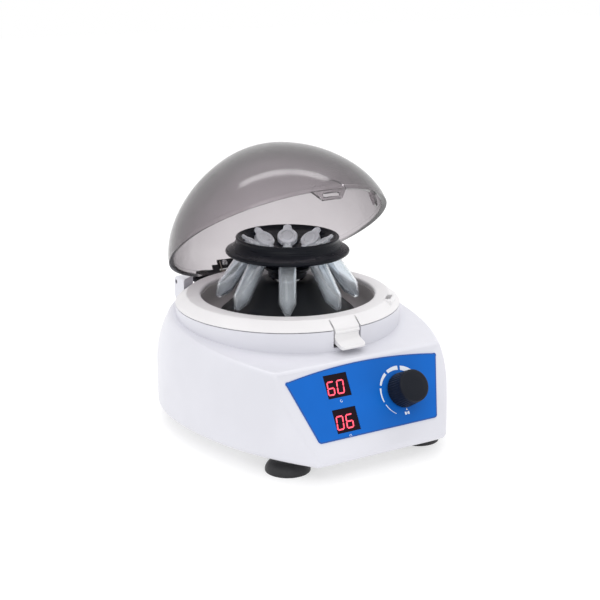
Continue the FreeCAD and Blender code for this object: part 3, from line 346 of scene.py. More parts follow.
def finishes():
    """Every finish by its name, as functions, so that each is made only once and when it is asked for."""
    tones = bpy.context.scene.centrifuge_colours
    return {
        "casing": lambda: plastic(
            "casing", tones.casing, 0.34, relief=0.000018, dust=0.12, wear=0.2,
            Coat_Weight=0.12, Coat_Roughness=0.18),
        "ring_plastic": lambda: plastic("ring_plastic", tones.ring, 0.36, dust=0.12, wear=0.25),
        "bowl_plastic": lambda: plastic(
            "bowl_plastic", tones.bowl, 0.42, grain=1600.0, relief=0.00003, dust=0.3),
        "base_plastic": lambda: plastic(
            "base_plastic", (0.55, 0.55, 0.57), 0.55, grain=1500.0, relief=0.00004),
        "black_plastic": lambda: plastic(
            "black_plastic", (0.013, 0.014, 0.017), 0.42, grain=1700.0, relief=0.00003, dust=0.06,
            worn_tone=(0.03, 0.032, 0.04), Specular_IOR_Level=0.2),
        "knob_plastic": lambda: plastic(
            "knob_plastic", (0.008, 0.010, 0.016), 0.42, grain=1300.0, relief=0.00004, dust=0.15,
            worn_tone=(0.02, 0.024, 0.035), Specular_IOR_Level=0.15),
        "print_white": lambda: plastic("print_white", (0.78, 0.82, 0.9), 0.5, dust=0.0, wear=0.0),
        "print_edge": lambda: plastic("print_edge", (0.006, 0.07, 0.30), 0.4, dust=0.0, wear=0.0),
        "smoked_clear": lambda: clear("smoked_clear", tones.smoke, 0.11, 1.38, edge=1.15),
        "tube_clear": lambda: clear("tube_clear", tones.tube, 0.05, 1.46, relief=0.000008, passes=0.88),
        "tube_frosted": lambda: clear(
            "tube_frosted", tones.tube, 0.34, 1.42, grain=1600.0, relief=0.00004, passes=0.52),
        "rotor_metal": lambda: metal(
            "rotor_metal", tones.rotor, 0.30, (70.0, 70.0, 1800.0), metallic=0.0, wear=0.06,
            Specular_IOR_Level=0.14),
        "black_metal": lambda: metal(
            "black_metal", (0.008, 0.009, 0.012), 0.32, metallic=0.1, wear=0.2, Specular_IOR_Level=0.15),
        "black_steel": lambda: metal(
            "black_steel", (0.02, 0.02, 0.024), 0.38, (900.0, 60.0, 60.0), metallic=0.6),
        "dark_steel": lambda: metal("dark_steel", (0.10, 0.10, 0.11), 0.35, (2200.0, 80.0, 80.0)),
        "steel": lambda: metal("steel", (0.58, 0.58, 0.59), 0.26),
        "plated_steel": lambda: metal("plated_steel", (0.55, 0.56, 0.53), 0.34, (400.0, 400.0, 400.0)),
        "motor_steel": lambda: metal("motor_steel", (0.40, 0.41, 0.42), 0.36, (80.0, 80.0, 1500.0)),
        "screw_steel": lambda: metal("screw_steel", (0.50, 0.50, 0.51), 0.30, (700.0, 700.0, 700.0)),
        "spring_steel": lambda: metal("spring_steel", (0.30, 0.27, 0.24), 0.34, (900.0, 900.0, 900.0)),
        "panel_film": lambda: film("panel_film", tones.panel),
        "display_red": lambda: plastic(
            "display_red", (0.010, 0.003, 0.007), 0.2, grain=800.0, relief=0.000004, dust=0.02,
            wear=0.0, Specular_IOR_Level=0.12),
        "digit_glow": lambda: glow("digit_glow", tones.digits, 1.15),
        "board_green": lambda: board("board_green", (0.012, 0.10, 0.045)),
        "rubber": lambda: rubber("rubber", (0.010, 0.010, 0.012)),
        "capacitor_sleeve": lambda: plastic("capacitor_sleeve", (0.02, 0.03, 0.09), 0.3, dust=0.1),
    }


def finish(name):
    return bpy.data.materials.get(FINISH + name) or finishes()[name]()


# ---- pieces ----------------------------------------------------------------------
def body_of(node):
    return next(b for b, members in frame["record"]["behaviour"]["bodies"].items() if node in members)


def slot_of(node):
    rows = frame["record"]["subparts"]
    return next(r["material_slot"] for r in rows if r["node"] == node)


CREASE = math.radians(32)     # a sharper bend than this is an edge: it gets a rounding and a crisp shade


def welded(node, name):
    """Copy of a CAD node with its triangles joined and its curved faces shaded smooth."""
    mesh = bpy.data.meshes.new(name)
    form = bmesh.new()
    form.from_mesh(frame["nodes"][node].data)
    bmesh.ops.remove_doubles(form, verts=form.verts, dist=2e-6)
    bmesh.ops.dissolve_degenerate(form, edges=form.edges, dist=1e-6)
    for face in form.faces:
        face.smooth = True
    for edge in form.edges:
        edge.smooth = len(edge.link_faces) == 2 and edge.calc_face_angle(0.0) < CREASE
    form.to_mesh(mesh)
    form.free()
    made = bpy.data.objects.new(name, mesh)
    bpy.context.scene.collection.objects.link(made)
    return made


CROWN_CENTRE = Vector((0, 0, 74.4 * MM))      # middle of the dome's foot, with the lid shut
CROWN_WALLS = ((68.4 * MM, 56.9 * MM), (66.2 * MM, 54.7 * MM))    # radius and height, outside and inside
CROWN_FULLNESS = 1.69
CROWN_TIP = 14 * MM                           # the round tip ends here, from the dome's axis
CROWN_FADE, CROWN_END = 20 * MM, 33 * MM      # the even curve goes over into the CAD face between these
CROWN_SKIN = 0.8 * MM                         # points farther than this from both faces stay as they are


def crown_height(reach, radius, height):
    """Height of one face of the dome over its foot: a full curve that ends in a soft round tip."""
    outer = max(reach, CROWN_TIP)
    over = (outer / radius) ** CROWN_FULLNESS
    level = height * (1 - over) ** (1 / CROWN_FULLNESS)
    if reach >= CROWN_TIP:
        return level
    slope = level * over / (1 - over) / outer
    return level + slope * (CROWN_TIP ** 2 - reach ** 2) / (2 * CROWN_TIP)


def even_crown(mesh):
    """Draws the crown of the dome evenly round its tip, outside and inside."""
    hinge = next(j for j in frame["record"]["behaviour"]["joints"] if j["name"] == "lid_hinge")
    pivot = Vector(hinge["pos_m"])
    shut = Matrix.Translation(pivot) @ Matrix.Rotation(
        math.radians(-hinge["range_deg"][0]), 4, "X") @ Matrix.Translation(-pivot)
    back = shut.inverted()
    for vertex in mesh.vertices:
        spot = shut @ vertex.co - CROWN_CENTRE
        reach = math.hypot(spot.x, spot.y)
        if reach >= CROWN_END or spot.z <= 0:
            continue
        level = min((crown_height(reach, *wall) for wall in CROWN_WALLS), key=lambda z: abs(z - spot.z))
        if abs(level - spot.z) > CROWN_SKIN:
            continue
        share = min(1.0, (CROWN_END - reach) / (CROWN_END - CROWN_FADE))
        spot.z += (level - spot.z) * share
        vertex.co = back @ (spot + CROWN_CENTRE)


def refine(node, look=None, edge=None, segments=2, reshape=None):
    """Stand a smooth-shaded copy with finely rounded edges in for a CAD node."""
    made = welded(node, node + "_finished")
    if reshape:
        reshape(made.data)
    made.data.materials.append(finish(look or slot_of(node)))
    width = bpy.context.scene.centrifuge_sizes.edge if edge is None else edge
    if width > 0:
        soft = made.modifiers.new("edge", "BEVEL")
        soft.width = width
        soft.segments = segments
        soft.limit_method = "ANGLE"
        soft.angle_limit = CREASE
        soft.harden_normals = True
        soft.use_clamp_overlap = True
    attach(made, body_of(node))
    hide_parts(node)
    return made


def settle(name, verts, faces, look, body):
    """Make a flat-shaded piece from points and faces, in the object's frame, and let it ride."""
    mesh = bpy.data.meshes.new(name)
    mesh.from_pydata([tuple(v) for v in verts], [], faces)
    mesh.materials.append(finish(look))
    made = bpy.data.objects.new(name, mesh)
    bpy.context.scene.collection.objects.link(made)
    tidy(made, smooth=False)
    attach(made, body)
    return made


def tidy(made, smooth=True, angle=35.0):
    """Merge doubles, turn faces outwards and shade by angle."""
    form = bmesh.new()
    form.from_mesh(made.data)
    bmesh.ops.remove_doubles(form, verts=form.verts, dist=1e-7)
    bmesh.ops.recalc_face_normals(form, faces=form.faces)
    for face in form.faces:
        face.smooth = smooth
    for edge in form.edges:
        edge.smooth = len(edge.link_faces) == 2 and edge.calc_face_angle(0.0) < math.radians(angle)
    form.to_mesh(made.data)
    form.free()


FILM_TOP = 0.4 * MM           # the film's face, over the facet it lies on


def panel_matrix():
    """Panel coordinates (across, up the slope, outwards) to the object's frame, from the film's own box."""
    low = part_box("panel_overlay")[0]
    base = Vector((0, low.y + FILM_TOP * math.cos(LEAN), low.z))
    across = Vector((1, 0, 0))
    up = Vector((0, math.sin(LEAN), math.cos(LEAN)))
    out = Vector((0, -math.cos(LEAN), math.sin(LEAN)))
    turn = Matrix((across, up, out)).transposed().to_4x4()
    return Matrix.Translation(base) @ turn


def prism(outline, low, high):
    """Points and faces of a closed prism over an outline of (x, y) points."""
    count = len(outline)
    verts = [(x, y, low) for x, y in outline] + [(x, y, high) for x, y in outline]
    faces = [list(range(count))[::-1], list(range(count, 2 * count))]
    for k in range(count):
        following = (k + 1) % count
        faces.append([k, following, count + following, count + k])
    return verts, faces


def joined(parts):
    """Several (points, faces) pairs as one."""
    verts, faces = [], []
    for some_verts, some_faces in parts:
        start = len(verts)
        verts += list(some_verts)
        faces += [[start + k for k in face] for face in some_faces]
    return verts, faces


# ---- geometry trees ----------------------------------------------------------------
def geometry_tree(name, inputs, build):
    """A geometry tree with named sizes and a material, whose result is real and coated."""
    tree = bpy.data.node_groups.new(name, "GeometryNodeTree")
    tree.interface.new_socket(name="Geometry", in_out="INPUT", socket_type="NodeSocketGeometry")
    for label, kind, default in inputs:
        made = tree.interface.new_socket(name=label, in_out="INPUT", socket_type=kind)
        made.default_value = default
    tree.interface.new_socket(name="Material", in_out="INPUT", socket_type="NodeSocketMaterial")
    tree.interface.new_socket(name="Geometry", in_out="OUTPUT", socket_type="NodeSocketGeometry")
    g = Graph(tree)
    entry = g.add("NodeGroupInput")
    leave = g.add("NodeGroupOutput")
    shape = build(g, entry.outputs)
    real = g.add("GeometryNodeRealizeInstances", Geometry=shape)
    coated = g.add("GeometryNodeSetMaterial", Geometry=real.outputs[0], Material=entry.outputs["Material"])
    g.feed(leave.inputs[0], coated.outputs[0])
    return tree


def grown(name, tree, look, values, body, place, angle):
    """Run a geometry tree, keep its result as a plain mesh in its place, and let it ride."""
    host = bpy.data.objects.new(name + "_seed", bpy.data.meshes.new(name + "_seed"))
    bpy.context.scene.collection.objects.link(host)
    run = host.modifiers.new("grow", "NODES")
    run.node_group = tree
    values = dict(values, Material=finish(look))
    for item in tree.interface.items_tree:
        if item.item_type == "SOCKET" and item.in_out == "INPUT" and item.name in values:
            run[item.identifier] = values[item.name]
    graph = bpy.context.evaluated_depsgraph_get()
    mesh = bpy.data.meshes.new_from_object(host.evaluated_get(graph))
    host.modifiers.clear()
    bpy.data.objects.remove(host)
    if not mesh.polygons:
        raise RuntimeError("the geometry tree made nothing: " + name)
    mesh.transform(place)
    mesh.name = name
    made = bpy.data.objects.new(name, mesh)
    bpy.context.scene.collection.objects.link(made)
    tidy(made, True, angle)
    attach(made, body)
    return made


def turned_tree(name, profile, around, rows, fluted=None):
    """A turned form: a profile of (radius, height) points spun about Z, with flutes along a share of it."""
    count = len(profile) - 1
    wide = max(r for r, z in profile)
    tall = max(z for r, z in profile)

    def rule(g, share, values):
        """The values at even steps of the share, straight between them."""
        node = g.add("ShaderNodeFloatCurve", i0=1.0, i1=share)
        curve = node.mapping.curves[0]
        while len(curve.points) < len(values):
            curve.points.new(0.5, 0.5)
        for k, (point, value) in enumerate(zip(curve.points, values)):
            point.location = (k / count, value)
            point.handle_type = "VECTOR"
        node.mapping.update()
        return node.outputs[0]

    def build(g, put):
        grid = g.add("GeometryNodeMeshGrid", i0=1.0, i1=1.0, i2=around + 1, i3=count * rows + 1)
        place = g.add("ShaderNodeSeparateXYZ", i0=g.add("GeometryNodeInputPosition").outputs[0])
        turn = g.math("MULTIPLY", g.math("ADD", place.outputs[0], 0.5), math.tau)
        share = g.math("ADD", place.outputs[1], 0.5)
        radius = g.math("MULTIPLY", rule(g, share, [r / wide for r, z in profile]), put["Radius"])
        height = g.math("MULTIPLY", rule(g, share, [z / tall for r, z in profile]), put["Height"])
        if fluted:
            low, high = fluted
            half = g.math("MULTIPLY", put["Flutes"], 0.5)
            wave = g.math("ABSOLUTE", g.math("COSINE", g.math("MULTIPLY", turn, half)))
            side = g.math("MULTIPLY", g.span(share, low, low + 0.03), g.span(share, high, high - 0.03))
            depth = g.math("MULTIPLY", side, put["Flute Depth"])
            cut = g.math("MULTIPLY", g.math("POWER", wave, 3.0), depth)
            radius = g.math("SUBTRACT", radius, cut)
        spot = g.add("ShaderNodeCombineXYZ", i0=g.math("MULTIPLY", radius, g.math("COSINE", turn)),
                     i1=g.math("MULTIPLY", radius, g.math("SINE", turn)), i2=height)
        moved = g.add("GeometryNodeSetPosition", Geometry=grid.outputs[0], Position=spot.outputs[0])
        return g.add("GeometryNodeMergeByDistance", Geometry=moved.outputs[0], Distance=1e-6).outputs[0]

    inputs = [("Radius", FLOAT, wide * MM), ("Height", FLOAT, tall * MM)]
    if fluted:
        inputs += [("Flutes", FLOAT, 40.0), ("Flute Depth", FLOAT, 0.0003)]
    return geometry_tree(name, inputs, build)


KNOB_PROFILE = [(0, 6.4), (7.2, 6.4), (7.2, 1.2), (9.6, 1.2), (10.0, 1.6), (9.3, 13.3), (9.0, 14.1),
                (8.2, 14.5), (5.0, 15.05), (0, 15.2)]


def cone_profile():
    """Closed section of the cone cover above the chamber's floor: outer face, foot and inner face."""
    crown = arc_points((9.4, 26.0), (14.5, 26.4), (19.0, 24.6), 6)
    knee = arc_points((40.2, 6.6), (41.2, 5.4), (41.5, 4.0), 4)
    inner = arc_points((17.8, 22.9), (14.0, 24.4), (9.4, 24.2), 4)
    return crown + [(19.0, 24.6), (33.6, 12.4)] + knee + [
        (41.5, 4.0), (41.5, 0.0), (39.4, 0.0), (39.4, 4.0), (32.2, 10.6)] + inner + [(9.4, 24.2), (9.4, 26.0)]


def dial_tree():
    """Marks round the knob: arcs of growing width with even gaps between them."""
    def build(g, put):
        grid = g.add("GeometryNodeMeshGrid", i0=1.0, i1=1.0, i2=521, i3=2)
        place = g.add("ShaderNodeSeparateXYZ", i0=g.add("GeometryNodeInputPosition").outputs[0])
        share = g.math("ADD", place.outputs[0], 0.5)
        within = g.math("FRACT", g.math("MULTIPLY", share, put["Marks"]))
        gap = g.math("GREATER_THAN", within, put["Filled Share"])
        kept = g.add("GeometryNodeDeleteGeometry", {"domain": "FACE"}, Geometry=grid.outputs[0],
                     Selection=gap)
        turn = g.math("ADD", put["Start Angle"], g.math("MULTIPLY", share, put["Sweep"]))
        grow = g.math("MULTIPLY", g.math("POWER", share, 1.3), put["Widening"])
        width = g.math("ADD", put["Narrow Width"], grow)
        inwards = g.math("ADD", place.outputs[1], 0.5)
        radius = g.math("SUBTRACT", put["Radius"], g.math("MULTIPLY", inwards, width))
        spot = g.add("ShaderNodeCombineXYZ", i0=g.math("MULTIPLY", radius, g.math("COSINE", turn)),
                     i1=g.math("MULTIPLY", radius, g.math("SINE", turn)))
        moved = g.add("GeometryNodeSetPosition", Geometry=kept.outputs[0], Position=spot.outputs[0])
        lift = g.add("ShaderNodeCombineXYZ", i2=put["Print Height"])
        raised = g.add("GeometryNodeExtrudeMesh", Mesh=moved.outputs[0], Offset=lift.outputs[0],
                       Individual=False)
        under = g.add("GeometryNodeFlipFaces", Mesh=moved.outputs[0])
        both = g.add("GeometryNodeJoinGeometry")
        g.tree.links.new(raised.outputs[0], both.inputs[0])
        g.tree.links.new(under.outputs[0], both.inputs[0])
        return g.add("GeometryNodeMergeByDistance", Geometry=both.outputs[0], Distance=1e-7).outputs[0]

    return geometry_tree("dial_marks", [
        ("Radius", FLOAT, 0.0143), ("Start Angle", FLOAT, 0.0), ("Sweep", FLOAT, -1.0), ("Marks", FLOAT, 6.5),
        ("Filled Share", FLOAT, 0.82), ("Narrow Width", FLOAT, 0.0003), ("Widening", FLOAT, 0.004),
        ("Print Height", FLOAT, 0.00004)], build)


# ---- panel print ---------------------------------------------------------------------
def arc_points(start, mid, end, count=12):
    """Points along the arc through three points, without its last one."""
    (x1, y1), (x2, y2), (x3, y3) = start, mid, end
    d = 2 * (x1 * (y2 - y3) + x2 * (y3 - y1) + x3 * (y1 - y2))
    s1, s2, s3 = x1 * x1 + y1 * y1, x2 * x2 + y2 * y2, x3 * x3 + y3 * y3
    cx = (s1 * (y2 - y3) + s2 * (y3 - y1) + s3 * (y1 - y2)) / d
    cy = (s1 * (x3 - x2) + s2 * (x1 - x3) + s3 * (x2 - x1)) / d
    a1, a2, a3 = (math.atan2(y - cy, x - cx) for x, y in (start, mid, end))
    forward = (a2 - a1) % math.tau < (a3 - a1) % math.tau
    sweep = (a3 - a1) % math.tau if forward else -((a1 - a3) % math.tau)
    r = math.hypot(x1 - cx, y1 - cy)
    return [(cx + r * math.cos(a1 + sweep * k / count), cy + r * math.sin(a1 + sweep * k / count))
            for k in range(count)]


def film_outline():
    """The film's outline on the panel, in millimetres: narrow foot, wide arched top, rounded corners."""
    low, high, slant, arch = 38.8, 50.0, 36.0, 4.0
    side = (high - low) / slant
    foot_side, top_side = low + side * 2, high - side * 1.8

    def corner(points, sign):
        """Points round one corner, on the right or mirrored to the left."""
        return arc_points(*[(sign * x, y) for x, y in points], 6)

    foot = [(low - 1.5, 0), (low - 0.2, 0.5), (foot_side, 2.0)]
    crest = [(top_side, slant - 1.8), (high - 0.3, slant - 0.2), (high - 1.9, slant + 0.2)]
    right = corner(foot, 1) + [foot[2]] + corner(crest, 1)
    top = arc_points(crest[2], (0, slant + arch), (-crest[2][0], crest[2][1]), 40)
    left = corner(crest[::-1], -1) + [(-top_side, slant - 1.8)] + corner(foot[::-1], -1)
    return right + top + left + [(-low + 1.5, 0)]


def set_in(outline, distance):
    """The outline moved inwards by a distance; it runs anticlockwise."""
    made = []
    count = len(outline)
    for k, (x, y) in enumerate(outline):
        ax, ay = outline[k - 1]
        bx, by = outline[(k + 1) % count]
        dx, dy = bx - ax, by - ay
        size = math.hypot(dx, dy)
        made.append((x - dy / size * distance, y + dx / size * distance))
    return made


def band(outer, inner, low, high):
    """Points and faces of a closed flat band between two outlines."""
    count = len(outer)
    loops = [(outer, low), (inner, low), (inner, high), (outer, high)]
    verts = [(x, y, z) for line, z in loops for x, y in line]
    faces = []
    for k in range(count):
        n = (k + 1) % count
        for a in range(4):
            b = (a + 1) % 4
            faces.append([a * count + k, b * count + k, b * count + n, a * count + n])
    return verts, faces


def ring_band(cx, cy, radius, width, low, high, start, sweep):
    """A flat arc or ring on the panel, closed."""
    outer, inner = [], []
    count = 28
    steps = count if sweep >= 360 else count + 1
    for k in range(steps):
        a = math.radians(start + sweep * k / count)
        outer.append((cx + radius * math.cos(a), cy + radius * math.sin(a)))
        inner.append((cx + (radius - width) * math.cos(a), cy + (radius - width) * math.sin(a)))
    if sweep >= 360:
        return band(outer, inner, low, high)
    return prism(outer + inner[::-1], low, high)


SEGMENTS = {"a": ((0, 1), (1, 1)), "b": ((1, 1), (1, 0.5)), "c": ((1, 0.5), (1, 0)), "d": ((0, 0), (1, 0)),
            "e": ((0, 0), (0, 0.5)), "f": ((0, 0.5), (0, 1)), "g": ((0, 0.5), (1, 0.5))}
LIT = {"6": "acdefg", "0": "abcdef"}


def digit_segments(digit, cx, cy, height, lit, low, high):
    """The lit or the dark segments of one seven-segment digit, leaning slightly to the right."""
    wide, thick, gap = height * 0.50, height * 0.095, height * 0.012
    lean = math.tan(math.radians(7))
    parts = []
    for name, ends in SEGMENTS.items():
        if (name in LIT[digit]) != lit:
            continue
        (ax, ay), (bx, by) = [((x - 0.5) * wide, (y - 0.5) * (height - thick)) for x, y in ends]
        size = math.hypot(bx - ax, by - ay)
        ux, uy = (bx - ax) / size, (by - ay) / size
        ax, ay, bx, by = ax + ux * gap, ay + uy * gap, bx - ux * gap, by - uy * gap
        h = thick / 2
        shape = [(ax, ay), (ax + ux * h + uy * h, ay + uy * h - ux * h),
                 (bx - ux * h + uy * h, by - uy * h - ux * h), (bx, by),
                 (bx - ux * h - uy * h, by - uy * h + ux * h), (ax + ux * h - uy * h, ay + uy * h + ux * h)]
        parts.append(prism([(cx + x + y * lean, cy + y) for x, y in shape], low, high))
    return parts


# ---- operators -----------------------------------------------------------------------
def shown(node, look=None):
    """A CAD node that stays as it is: only its finish is set."""
    piece = frame["nodes"][node]
    piece.data.materials.clear()
    piece.data.materials.append(finish(look or slot_of(node)))
    return piece


class CENTRIFUGE_OT_casing(bpy.types.Operator):
    """Finish the moulded casing and the plate under it"""
    bl_idname = "centrifuge.casing"
    bl_label = "Casing"

    def execute(self, context):
        refine("upper_housing", segments=3)
        refine("base_plate")
        return {"FINISHED"}


class CENTRIFUGE_OT_chamber(bpy.types.Operator):
    """Finish the seat ring, the rotor chamber, the cone and the latch"""
    bl_idname = "centrifuge.chamber"
    bl_label = "Chamber and latch"

    def execute(self, context):
        refine("seat_ring", segments=3)
        refine("latch_finger", edge=0.0005, segments=3)
        refine("rotor_bowl")
        low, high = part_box("motor_cone_cover")
        values = {"Radius": high.x, "Height": high.z - low.z}
        tree = turned_tree("turned_cone", cone_profile(), 160, 1)
        cone = grown("motor_cone_cover_turned", tree, "black_plastic", values, "base",
                     Matrix.Translation((0, 0, low.z)), 30)
        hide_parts("motor_cone_cover")
        shown("interlock_sensor")
        return {"FINISHED"}


class CENTRIFUGE_OT_lid(bpy.types.Operator):
    """Finish the smoked lid, its hinge, spring and interlock tongue"""
    bl_idname = "centrifuge.lid"
    bl_label = "Lid"

    def execute(self, context):
        refine("lid_dome", edge=0.0003, segments=3, reshape=even_crown)
        refine("lid_hinge_leaf")
        shown("lid_hinge_screws")
        shown("lid_spring")
        refine("interlock_tongue", look="smoked_clear")
        shown("hinge_pin")
        return {"FINISHED"}


class CENTRIFUGE_OT_rotor(bpy.types.Operator):
    """Finish the rotor, its nut and the spindle"""
    bl_idname = "centrifuge.rotor"
    bl_label = "Rotor"

    def execute(self, context):
        refine("rotor", edge=0.0003)
        refine("rotor_nut")
        shown("spindle")
        return {"FINISHED"}


TUBE_START = -120             # the first tube's direction round the rotor, in degrees
CAP_SPOT = (19 * MM, 108 * MM)            # a cap's middle: from the rotor's axis and above the desk
CAP_REACH = -3.4 * MM                     # where the cap ends, along the tube from the cap's middle


class CENTRIFUGE_OT_tubes(bpy.types.Operator):
    """Finish the eight sample tubes: clear bodies and frosted caps"""
    bl_idname = "centrifuge.tubes"
    bl_label = "Sample tubes"

    def execute(self, context):
        for k in range(8):
            node = "sample_tube_%d" % (k + 1)
            piece = refine(node, edge=0.0001)
            piece.data.materials.append(finish("tube_frosted"))
            turn = math.radians(TUBE_START + 45 * k)
            outwards = Vector((math.cos(turn), math.sin(turn), 0))
            up = Vector((0, 0, math.cos(TUBE_LEAN))) - outwards * math.sin(TUBE_LEAN)
            cap = Vector((0, 0, CAP_SPOT[1])) + outwards * CAP_SPOT[0]
            for face in piece.data.polygons:
                if (face.center - cap).dot(up) > CAP_REACH:
                    face.material_index = 1
        return {"FINISHED"}


class CENTRIFUGE_OT_drive(bpy.types.Operator):
    """Finish the motor and what holds it"""
    bl_idname = "centrifuge.drive"
    bl_label = "Motor"

    def execute(self, context):
        for node in ("motor_shaft", "motor_can", "motor_end_cap", "motor_bracket", "motor_screws",
                     "motor_dampers", "damper_screws"):
            shown(node)
        return {"FINISHED"}


# Small signs under the knob, in millimetres: a pointer at the knob, a pair of bars and a dot between them.
KNOB_SIGNS = ([(-0.75, 7.7), (0.35, 7.7), (-0.2, 8.85)],
              [(-2.1, 5.3), (-1.0, 5.3), (-1.0, 6.9), (-2.1, 6.9)],
              [(-0.2, 5.3), (0.9, 5.3), (0.9, 6.9), (-0.2, 6.9)],
              [(-0.85, 5.8), (-0.35, 5.8), (-0.35, 6.4), (-0.85, 6.4)])


class CENTRIFUGE_OT_panel(bpy.types.Operator):
    """Finish the panel: film, edge line, dial marks, pointer, symbols and lit digits"""
    bl_idname = "centrifuge.panel"
    bl_label = "Control panel"

    def execute(self, context):
        sizes = context.scene.centrifuge_sizes
        shown("panel_overlay")
        place = panel_matrix()
        low, high = FILM_TOP, FILM_TOP + sizes.print_height
        outline = film_outline()
        edge = [[(x * MM, y * MM) for x, y in set_in(outline, d)] for d in (0.12, 0.62)]
        verts, faces = band(edge[0], edge[1], low, high)
        self.lay("panel_edge_line", verts, faces, "print_edge", place)

        values = {"Radius": sizes.dial_radius, "Start Angle": math.radians(238), "Sweep": math.radians(-260),
                  "Marks": 6.5, "Filled Share": 0.82, "Narrow Width": 0.25 * MM, "Widening": 4.2 * MM,
                  "Print Height": sizes.print_height}
        grown("dial_marks", dial_tree(), "print_white", values, "base",
              place @ Matrix.Translation((*KNOB_SPOT, FILM_TOP)), 20)

        shapes = [prism([(KNOB_SPOT[0] + x * MM, y * MM) for x, y in sign], low, high) for sign in KNOB_SIGNS]
        for height, sweep in ((20.4, 290), (0.9, 360)):
            shapes.append(ring_band(WINDOW_ACROSS * MM, height * MM, 0.75 * MM, 0.22 * MM, low, high,
                                    70, sweep))
        verts, faces = joined(shapes)
        self.lay("panel_symbols", verts, faces, "print_white", place)

        glass = 0.10 * MM             # the displays' faces stand this far out of the facet
        for name, digits, middle in (("speed_digits", "60", 28.2), ("time_digits", "06", 8.8)):
            for lit, look, suffix in ((True, "digit_glow", ""), (False, "display_red", "_dark")):
                parts = []
                for digit, shift in zip(digits, (-4.2, 1.9)):
                    parts += digit_segments(digit, (WINDOW_ACROSS + shift) * MM, middle * MM,
                                            sizes.digit_height, lit, glass, glass + 0.05 * MM)
                verts, faces = joined(parts)
                self.lay(name + suffix, verts, faces, look, place, "display_red")
        shown("speed_display")
        shown("time_display")
        return {"FINISHED"}

    def lay(self, name, verts, faces, look, place, slot="panel_film"):
        settle(name, [place @ Vector(v) for v in verts], faces, look, "base")


class CENTRIFUGE_OT_knob(bpy.types.Operator):
    """Grow the fluted knob and finish the encoder behind it"""
    bl_idname = "centrifuge.knob"
    bl_label = "Knob"

    def execute(self, context):
        sizes = context.scene.centrifuge_sizes
        values = {"Flutes": float(sizes.flutes), "Flute Depth": sizes.flute_depth}
        place = panel_matrix() @ Matrix.Translation((*KNOB_SPOT, 0))
        tree = turned_tree("fluted_knob", KNOB_PROFILE, 480, 5, (0.44, 0.56))
        knob = grown("control_knob_fluted", tree, "knob_plastic", values, "knob", place, 28)
        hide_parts("control_knob")
        for node in ("encoder_body", "encoder_rotor", "encoder_shaft", "encoder_nut"):
            shown(node)
        return {"FINISHED"}


class CENTRIFUGE_OT_electrics(bpy.types.Operator):
    """Finish the boards, the transformer, the mains inlet and the switch"""
    bl_idname = "centrifuge.electrics"
    bl_label = "Boards, inlet and switch"

    def execute(self, context):
        for node in ("display_board", "display_board_posts", "display_board_screws", "control_board",
                     "board_standoffs", "board_screws", "transformer"):
            shown(node)
        shown("board_parts", "capacitor_sleeve")
        refine("power_inlet")
        refine("rocker_frame")
        refine("power_rocker")
        return {"FINISHED"}


class CENTRIFUGE_OT_feet(bpy.types.Operator):
    """Finish the suction feet and the screws under the casing"""
    bl_idname = "centrifuge.feet"
    bl_label = "Feet"

    def execute(self, context):
        for node in ("foot_front_left", "foot_front_right", "foot_rear_left", "foot_rear_right"):
            shown(node)
        shown("foot_screws")
        shown("base_screws")
        return {"FINISHED"}


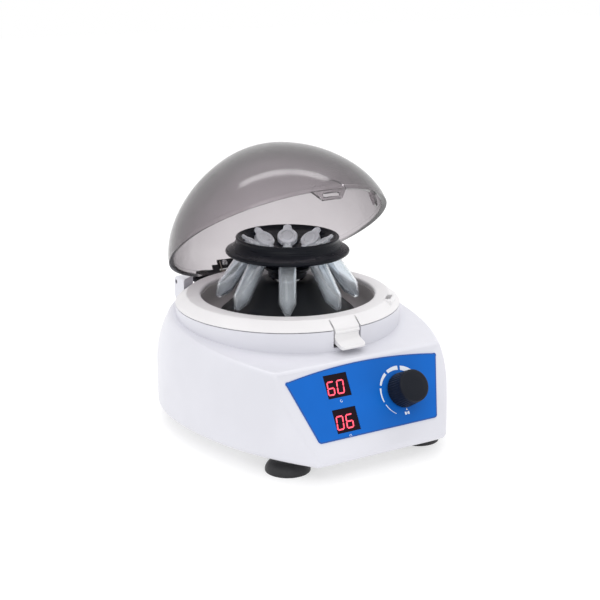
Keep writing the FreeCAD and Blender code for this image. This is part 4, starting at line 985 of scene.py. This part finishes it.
class CENTRIFUGE_OT_stage(bpy.types.Operator):
    """Lay the pale floor, set the lights and place the camera"""
    bl_idname = "centrifuge.stage"
    bl_label = "Stage"

    def execute(self, context):
        scene = context.scene
        self.floor()
        world = bpy.data.worlds.new("studio")
        scene.world = world
        world.use_nodes = True
        backdrop = world.node_tree.nodes["Background"]
        backdrop.inputs[0].default_value = (1.0, 1.0, 1.0, 1.0)
        backdrop.inputs[1].default_value = 1.0
        self.lamp("key", (-0.60, -0.70, 0.90), (0.80, 0.30), 1.4)
        over = self.lamp("over", (0.10, 0.22, 1.0), (1.10, 0.16), 3.0)
        over.rotation_euler = (0, 0, scene.centrifuge_camera.azimuth)
        scene.view_settings.view_transform = "Standard"
        self.camera(scene)
        return {"FINISHED"}

    def floor(self):
        form = bmesh.new()
        bmesh.ops.create_grid(form, x_segments=24, y_segments=24, size=3.0)
        mesh = bpy.data.meshes.new("floor")
        form.to_mesh(mesh)
        form.free()
        f = Finish("floor_paper", Roughness=0.95, Emission_Strength=0.5, Specular_IOR_Level=0.0)
        f.set("Base Color", f.mix(f.noise(3.0), (0.56, 0.56, 0.56, 1), (0.58, 0.58, 0.58, 1)))
        f.set("Emission Color", (1.0, 1.0, 1.0, 1.0))
        mesh.materials.append(f.material)
        made = bpy.data.objects.new("floor", mesh)
        bpy.context.scene.collection.objects.link(made)

    def lamp(self, name, spot, size, power):
        light = bpy.data.lights.new(name, "AREA")
        light.shape = "RECTANGLE"
        light.size, light.size_y = size
        light.energy = power
        made = bpy.data.objects.new(name, light)
        made.location = spot
        aim = Vector((0, 0, 0.07)) - Vector(spot)
        made.rotation_euler = aim.to_track_quat("-Z", "Y").to_euler()
        bpy.context.scene.collection.objects.link(made)
        return made

    def camera(self, scene):
        view = scene.centrifuge_camera
        a, e = view.azimuth, view.elevation
        right = Vector((math.cos(a), math.sin(a), 0))
        back = Vector((math.sin(a) * math.cos(e), -math.cos(a) * math.cos(e), math.sin(e)))
        aim = right * view.aim_right + Vector((0, 0, view.aim_height))
        lens = bpy.data.cameras.new("camera")
        lens.lens = view.focal
        lens.sensor_width = 36.0
        lens.clip_start = 0.01
        made = bpy.data.objects.new("camera", lens)
        made.location = aim + back * view.distance
        made.rotation_euler = (-back).to_track_quat("-Z", "Y").to_euler()
        scene.collection.objects.link(made)
        scene.camera = made


STEPS = (CENTRIFUGE_OT_casing, CENTRIFUGE_OT_chamber, CENTRIFUGE_OT_lid, CENTRIFUGE_OT_rotor,
         CENTRIFUGE_OT_tubes, CENTRIFUGE_OT_drive, CENTRIFUGE_OT_panel, CENTRIFUGE_OT_knob,
         CENTRIFUGE_OT_electrics, CENTRIFUGE_OT_feet, CENTRIFUGE_OT_stage)


class CENTRIFUGE_PT_steps(bpy.types.Panel):
    """The steps that finish the centrifuge, in order"""
    bl_idname = "CENTRIFUGE_PT_steps"
    bl_label = "Mini centrifuge"
    bl_space_type = "VIEW_3D"
    bl_region_type = "UI"
    bl_category = "Centrifuge"

    def draw(self, context):
        for step in STEPS:
            self.layout.operator(step.bl_idname)
        for group in (context.scene.centrifuge_colours, context.scene.centrifuge_sizes,
                      context.scene.centrifuge_camera):
            for name in group.bl_rna.properties.keys():
                if name not in ("rna_type", "name"):
                    self.layout.prop(group, name)


CLASSES = (CentrifugeColours, CentrifugeSizes, CentrifugeCamera) + STEPS + (CENTRIFUGE_PT_steps,)


def register():
    for kind in CLASSES:
        bpy.utils.register_class(kind)
    bpy.types.Scene.centrifuge_colours = bpy.props.PointerProperty(type=CentrifugeColours)
    bpy.types.Scene.centrifuge_sizes = bpy.props.PointerProperty(type=CentrifugeSizes)
    bpy.types.Scene.centrifuge_camera = bpy.props.PointerProperty(type=CentrifugeCamera)


def unregister():
    del bpy.types.Scene.centrifuge_camera
    del bpy.types.Scene.centrifuge_sizes
    del bpy.types.Scene.centrifuge_colours
    for kind in reversed(CLASSES):
        bpy.utils.unregister_class(kind)


def main():
    register()
    for step in STEPS:
        area, name = step.bl_idname.split(".")
        getattr(getattr(bpy.ops, area), name)()


if __name__ == "__main__":
    main()
